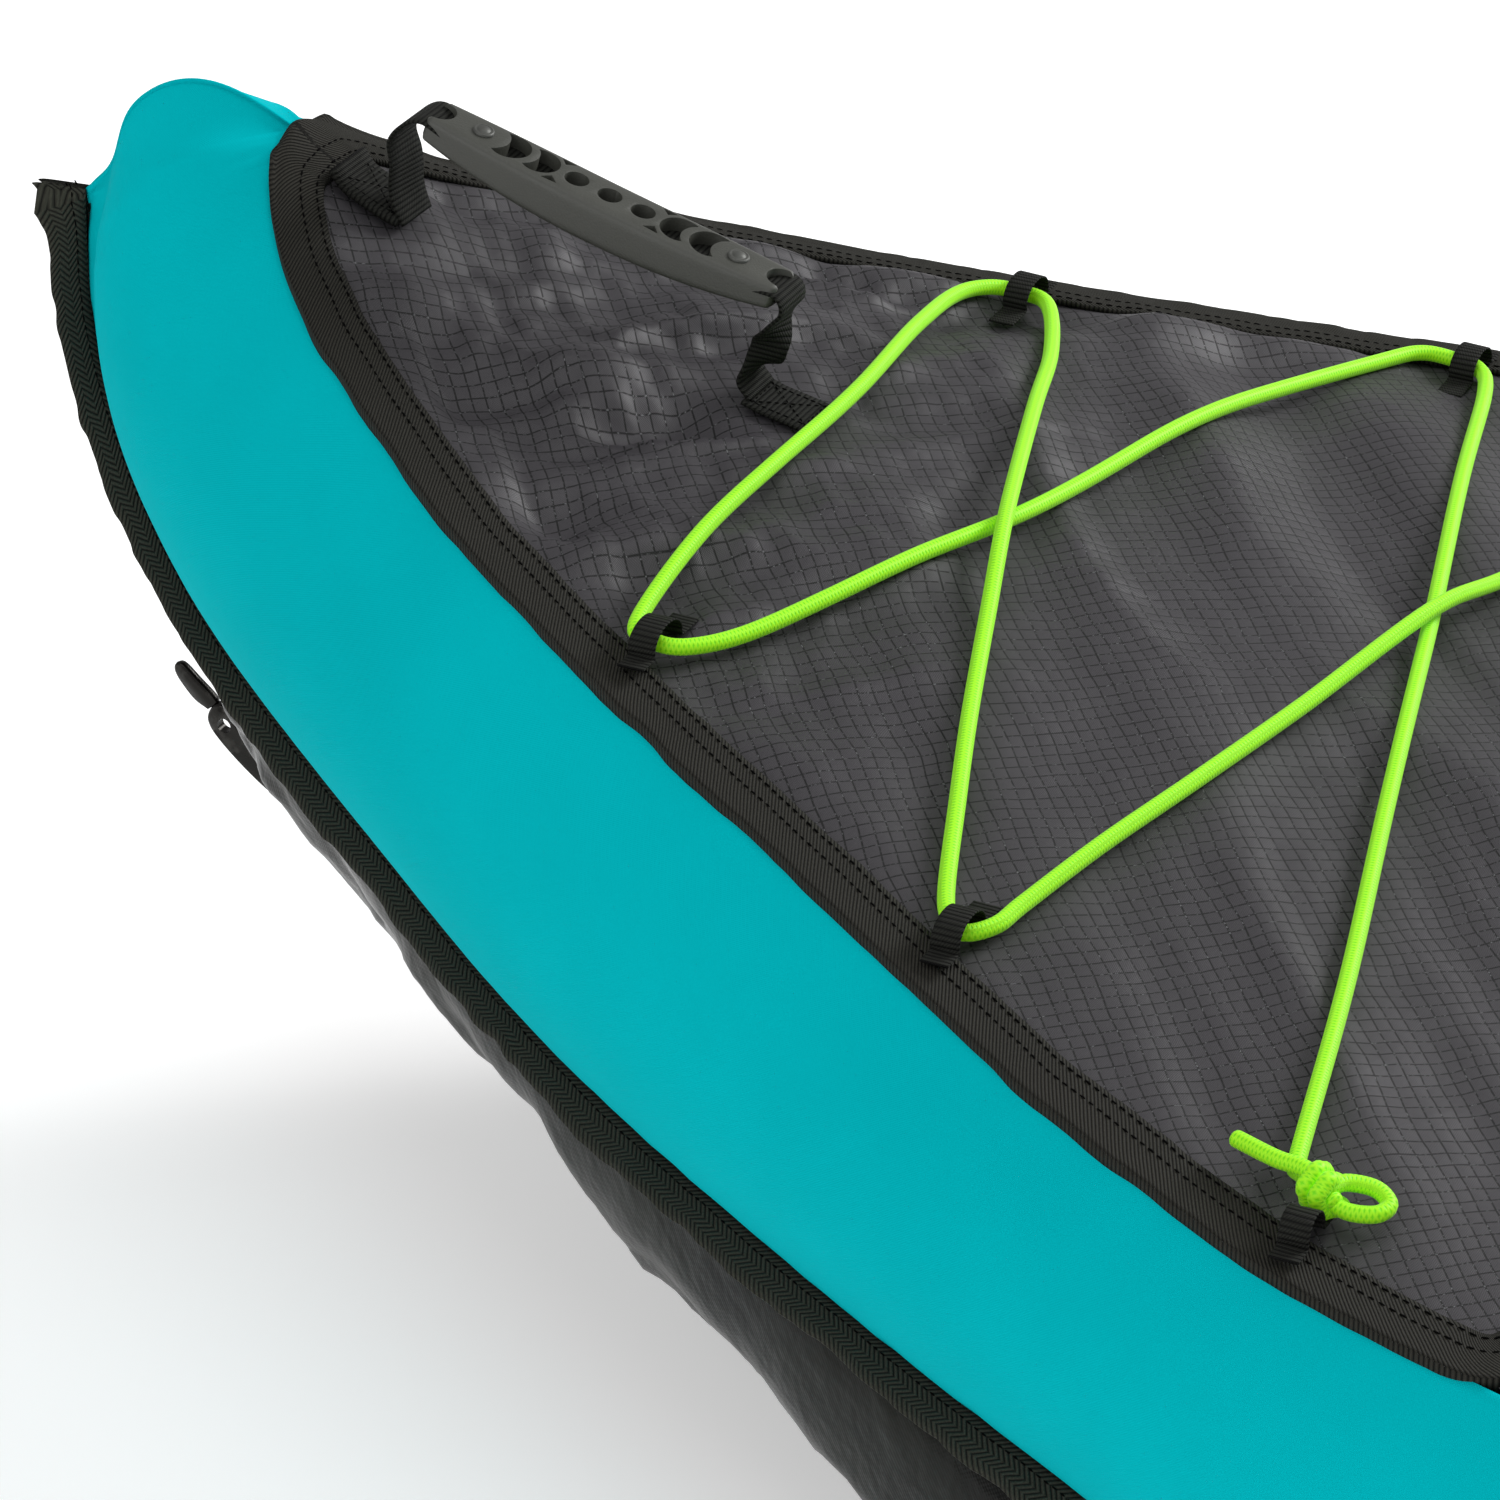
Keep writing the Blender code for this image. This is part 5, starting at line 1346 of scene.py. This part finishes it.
def towFitting():
    centre = placed(np.array(tow["ring"]))
    tip = placed(np.array(tow["tip"]))
    along = (tip - centre) / np.linalg.norm(tip - centre)
    above = np.array([-along[2], 0.0, along[0]])
    path = smoothPath([placed(np.array(p)) for p in ((0.228, 0, 0.1085), (0.212, 0, 0.1150),
        (0.197, 0, 0.1215))] + [
        centre + (-0.0125, 0, 0.0062), centre + (-0.0075, 0, 0.0020), centre + (-0.0105, 0, -0.0030),
        centre + (-0.020, 0, -0.0010)], 0.001)
    tab = band("towTab", path, (0, 1, 0), 0.0185, 0.0018, "webbing", "hull")
    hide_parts("tow_tab")
    turn = np.arange(72) * 2 * math.pi / 72
    circle = centre + np.stack([tow["major"] * np.cos(turn), 0 * turn, tow["major"] * np.sin(turn)], -1)
    ring = tube("towRing", circle, tow["minor"], "steel", "ring", 18, True)
    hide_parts("tow_ring")
    start = centre + along * 0.0112
    outline = [(0.0, -0.0040), (0.0035, -0.0068), (0.014, -0.0088), (0.028, -0.0098), (0.040, -0.0096),
        (0.0475, -0.0082), (0.0515, -0.0045),
               (0.0520, 0.0026), (0.0470, 0.0058), (0.0415, 0.0062), (0.0400, 0.0094), (0.0355, 0.0098),
               (0.0340, 0.0080),
               (0.024, 0.0086), (0.012, 0.0078), (0.0035, 0.0062), (0.0, 0.0040)]
    outline = smoothPath([(a, 0.0, b) for a, b in outline + outline[:1]], 0.0006)[:-1, [0, 2]]
    sections = []
    for half, shrink in ((-0.0026, 0.86), (-0.0022, 0.95), (-0.0012, 1.0), (0.0012, 1.0), (0.0022, 0.95),
            (0.0026, 0.86)):
        middle = outline.mean(0)
        inner = middle + (outline - middle) * (1 - (1 - shrink) * 0.35)
        sections.append(start + inner[:, :1] * along + inner[:, 1:] * above + (0, half, 0))
    body = ringed("snapHookBody", sections, "steel", None)
    for eye, radius in ((0.0430, 0.0034), (0.0035, 0.0024)):
        place = start + along * eye - above * (0.002 if eye > 0.01 else 0)
        carve(body, [spun("eye", ((radius, -0.01), (radius, 0.01)), place, (0, 1, 0), "steel", None, 36)])
    body = roundEdges(body, 0.0003, 2, 45)
    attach(body, "hook")
    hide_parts("snap_hook_body")
    pivot = start + along * 0.0535
    outline = [(-0.001, -0.0036), (0.006, -0.0054), (0.015, -0.0046), (0.0205, -0.0030), (0.0228, 0.0),
        (0.0205, 0.0030), (0.012, 0.0034), (-0.001, 0.0032)]
    outline = smoothPath([(a, 0.0, b) for a, b in outline + outline[:1]], 0.0006)[:-1, [0, 2]]
    sections = []
    for half, shrink in ((-0.0018, 0.80), (-0.0014, 0.95), (0.0, 1.0), (0.0014, 0.95), (0.0018, 0.80)):
        middle = outline.mean(0)
        inner = middle + (outline - middle) * (1 - (1 - shrink) * 0.5)
        sections.append(pivot + inner[:, :1] * along + inner[:, 1:] * above + (0, half, 0))
    gate = ringed("snapHookGate", sections, "steel", "gate")
    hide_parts("snap_hook_gate")


towFitting()

print("seat")
seat = {"voxel": 0.0075, "pressure": 3.2, "frames": 18, "most": 0.009}


def stuffed(nodeName, name, body, seams):  # a cushion blown up from its flat shape; seams hold it down
    source = nodes[nodeName].data.copy()
    piece = bpy.data.objects.new(name, source)
    bpy.context.scene.collection.objects.link(piece)
    start = np.empty(len(source.vertices) * 3)
    source.vertices.foreach_get("co", start)
    start = start.reshape(-1, 3)
    middle = (start.max(0) + start.min(0)) / 2
    source.vertices.foreach_set("co", (middle + (start - middle) * 0.972).ravel())
    remesh = piece.modifiers.new("remesh", "REMESH")
    remesh.mode = "VOXEL"
    remesh.voxel_size = seat["voxel"]
    applied(piece)
    points = np.empty(len(piece.data.vertices) * 3)
    piece.data.vertices.foreach_get("co", points)
    points = points.reshape(-1, 3)
    held = seams(points)
    group = piece.vertex_groups.new(name="seams")
    group.add([int(n) for n in np.nonzero(held)[0]], 1.0, "REPLACE")
    cloth = piece.modifiers.new("cloth", "CLOTH")
    settings = cloth.settings
    settings.vertex_group_mass = "seams"
    settings.use_pressure = True
    settings.uniform_pressure_force = seat["pressure"]
    settings.tension_stiffness = settings.compression_stiffness = 18
    settings.bending_stiffness = 0.6
    settings.effector_weights.gravity = 0
    cloth.point_cache.frame_start = 1
    cloth.point_cache.frame_end = seat["frames"]
    for number in range(1, seat["frames"] + 1):
        bpy.context.scene.frame_set(number)
    applied(piece)
    bpy.context.scene.frame_set(1)
    moved = np.empty(len(piece.data.vertices) * 3)
    piece.data.vertices.foreach_get("co", moved)
    shift = moved.reshape(-1, 3) - points
    far = np.linalg.norm(shift, axis=1, keepdims=True)
    shift = shift * np.minimum(1.0, seat["most"] / np.maximum(far, 1e-9))
    piece.data.vertices.foreach_set("co", (points + shift).ravel())
    finer = piece.modifiers.new("finer", "SUBSURF")
    finer.levels = finer.render_levels = 1
    applied(piece)
    piece.data.materials.clear()
    piece.data.materials.append(finish["seat"])
    piece.data.shade_smooth()
    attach(piece, body)
    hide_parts(nodeName)
    return piece


def cushionSeams(points):  # across the seat, on its upper face
    onSeam = np.abs((points[:, 0] + 0.130) % 0.095 - 0.0475) < 0.004
    return onSeam & (points[:, 2] > 0.10)


def backrestSeams(points):  # across the back, one over the other
    return np.abs((points[:, 2] - 0.150) % 0.085 - 0.0425) < 0.004


stuffed("seat_cushion", "seatCushion", "hull", cushionSeams)
stuffed("seat_backrest", "seatBackrest", "backrest", backrestSeams)


def seatStraps():
    for name, side in (("port", 1), ("starboard", -1)):
        first = np.array([-0.345, side * 0.1715, 0.405])
        last = np.array([0.205, side * 0.2025, 0.232])
        share = np.linspace(0, 1, 160)[:, None]
        path = first * (1 - share) + last * share
        path[:, 2] -= 0.035 * 4 * share[:, 0] * (1 - share[:, 0])
        made = band(name + "SeatStrap", path, (0.32, 0, 1), 0.025, 0.0017, "webbing", None)
        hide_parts(name + "_seat_strap")
        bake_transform(made)
        low = np.array([0.212, side * 0.2025 - 0.004, 0.214])
        high = np.array([0.247, side * 0.2025 + 0.004, 0.250])
        middle, size = (low + high) / 2, high - low
        outline = [(-0.5, -0.42), (-0.42, -0.5), (0.42, -0.5), (0.5, -0.42), (0.5, 0.42), (0.42, 0.5),
            (-0.42, 0.5), (-0.5, 0.42)]
        sections = [[middle + size * (a, half, b) for a, b in outline] for half in (-0.5, 0.5)]
        buckle = ringed(name + "StrapBuckle", sections, "plastic", None)
        for slot in (-0.22, 0.22):
            box = [(slot - 0.10, -0.36), (slot + 0.10, -0.36), (slot + 0.10, 0.36), (slot - 0.10, 0.36)]
            through = [[middle + size * (a, half, b) for a, b in box] for half in (-1.0, 1.0)]
            carve(buckle, [ringed("slot", through, "plastic", None)])
        buckle = roundEdges(buckle, 0.0010, 3, 30)
        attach(buckle, "hull")
        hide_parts(name + "_strap_buckle")


seatStraps()

print("floor and valves")


def floorPad():  # inflatable floor: lengthwise tubes side by side, welded at their valleys
    stations = np.concatenate([np.linspace(0.70, 0.86, 24), np.linspace(0.88, 1.60, 30)])
    share = np.interp(stations, (0.70, 0.74, 0.82, 1.0), (0.72, 0.86, 0.97, 1.0))
    keel = np.interp(stations, fair(keelLine, finelySpaced)[:, 0], fair(keelLine, finelySpaced)[:, 1])
    angle = np.linspace(0, 2 * math.pi, 121)[:-1]
    across = np.sign(np.cos(angle)) * np.abs(np.cos(angle)) ** 0.35
    height = np.sign(np.sin(angle)) * np.abs(np.sin(angle)) ** 0.5
    lobes = np.abs(np.sin(across * 2.5 * math.pi)) ** 0.55
    swell = np.where(height > 0, 0.62 + 0.38 * lobes, 1.0)
    taper = np.interp(stations, (0.70, 0.712, 0.73), (0.55, 0.9, 1.0))
    sections = []
    for station, part, lift, close in zip(stations, share, keel, taper):
        rise = 0.046 + height * swell * 0.036 * close + max(0.0, lift - 0.001)
        sections.append(np.stack([np.full(120, station), across * 0.210 * part, rise], -1))
    sections = np.array(sections)
    whole = np.concatenate([placed(sections, 1), placed(sections[-2::-1], -1)])
    made = ringed("floorPad", whole, "bladder", "hull")
    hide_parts("floor_chamber")


floorPad()


def turnedProfile(points):
    return [(max(radius, 0.00002), height) for radius, height in points]


def valves():
    centre, radius = tubeCircle(np.array([float(rowAt(1.05))]))
    top = float(centre[0, 2] + radius[0]) + 0.0026
    aside = float(centre[0, 1])
    places = {
        "port_side": (-0.55, aside, top),
        "starboard_side": (-0.55, -aside, top),
        "floor": (-0.60, 0.0, 0.0828),
    }
    for name, place in places.items():
        plain = name.replace("_s", "S")
        body = spun(plain + "ValveBody", turnedProfile((
            (0, 0.0), (0.0236, 0.0), (0.0240, 0.0010), (0.0236, 0.0028), (0.0180, 0.0036), (0.0165, 0.0046),
            (0.0160, 0.0060),
            (0.0166, 0.0066), (0.0160, 0.0072), (0.0160, 0.0112), (0.0154, 0.0120), (0.0130, 0.0120),
            (0.0124, 0.0112), (0.0124, 0.0016), (0, 0.0014),
        )), place, (0, 0, 1), "plastic", "hull", 72)
        plunger = spun(plain + "ValvePlunger", turnedProfile((
            (0, 0.0046), (0.0030, 0.0046), (0.0032, 0.0080), (0.0043, 0.0086), (0.0045, 0.0094),
            (0.0038, 0.0098), (0.0010, 0.0096), (0, 0.0096),
        )), place, (0, 0, 1), "steel", name + "_plunger", 40)
        cap = spun(plain + "ValveCap", turnedProfile((
            (0, 0.0124), (0.0180, 0.0124), (0.0186, 0.0130), (0.0186, 0.0158), (0.0176, 0.0170),
            (0.0150, 0.0176), (0.0146, 0.0184), (0.0060, 0.0185),
            (0.0050, 0.0181), (0, 0.0181),
        )), place, (0, 0, 1), "plastic", name + "_cap", 72)
        turned = ((body, "_valve_body", "plastic"), (plunger, "_valve_plunger", "dark_steel"),
            (cap, "_valve_cap", "plastic"))
        for made, node, slotName in turned:
            made.data.set_sharp_from_angle(angle=math.radians(35))
            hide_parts(name + node)


valves()

for nodeName in ("skeg_box", "skeg_fin", "drain_plug"):
    nodes[nodeName].data.materials.clear()
    nodes[nodeName].data.materials.append(finish["plastic"])
nodes["skeg_pin"].data.materials.clear()
nodes["skeg_pin"].data.materials.append(finish["steel"])
chamber = {
    "gap": 0.007,       # inside the cover
    "slack": 0.024,     # under the deck, whose folds hang low
    "rows": 90,
    "turns": 40,
    "first": 3.6,       # row at which it starts
}


def sideChambers():  # an air tube in each cover, slimmer under the decks and where the two meet in the ends
    rows, ends = wholeLength(np.linspace(chamber["first"], lastRow, chamber["rows"]))
    centre, radius = tubeCircle(rows)
    outermost = centre[:, 1] + radius
    radius = np.minimum(radius, outermost / 2) - chamber["gap"]
    turn = np.arange(chamber["turns"]) * 2 * math.pi / chamber["turns"]
    upper = np.radians(np.arange(15, 180, 15))
    for row in range(len(rows)):
        station = centre[row, 0]
        if station > lines["deckEnd"] + 0.04:
            continue
        half = fair(deckSeam, rowAt(station))[1] - 0.004
        across = outermost[row] - chamber["gap"]
        while radius[row] > 0.008:
            middle = across - radius[row]
            over = np.minimum(np.abs(middle + radius[row] * np.cos(upper)), half)
            ceiling = deckHeight(station, over) - chamber["slack"]
            if (centre[row, 2] + radius[row] * np.sin(upper) < ceiling).all():
                break
            radius[row] -= 0.0005
    radius = np.convolve(np.pad(radius, 2, mode="edge"), np.full(5, 0.2), mode="valid")
    fromEnd = np.minimum(np.arange(len(rows)), np.arange(len(rows))[::-1]) / 7
    shoulder = np.sqrt(np.clip(1 - (1 - np.clip(fromEnd, 0, 1)) ** 2, 0.02, 1))
    pucker = 1 + 0.012 * ripple(rows[:, None] * 6.0, turn[None] * 1.3, 41) * np.cos(turn[None] / 2)
    for name, side in (("port", 1), ("starboard", -1)):
        middle = outermost - chamber["gap"] - radius
        size = (radius * shoulder)[:, None] * pucker
        points = np.stack([
            np.repeat(centre[:, :1], len(turn), 1), (middle[:, None] + size * np.cos(turn)) * side,
            centre[:, 2:] + size * np.sin(turn),
        ], -1)
        points[..., 0] = ends[:, None] * (halfLength - points[..., 0])
        made = ringed(name + "Bladder", points, "sideBladder", "hull")
        outwardFaces(made)
        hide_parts(name + "_side_chamber")


sideChambers()
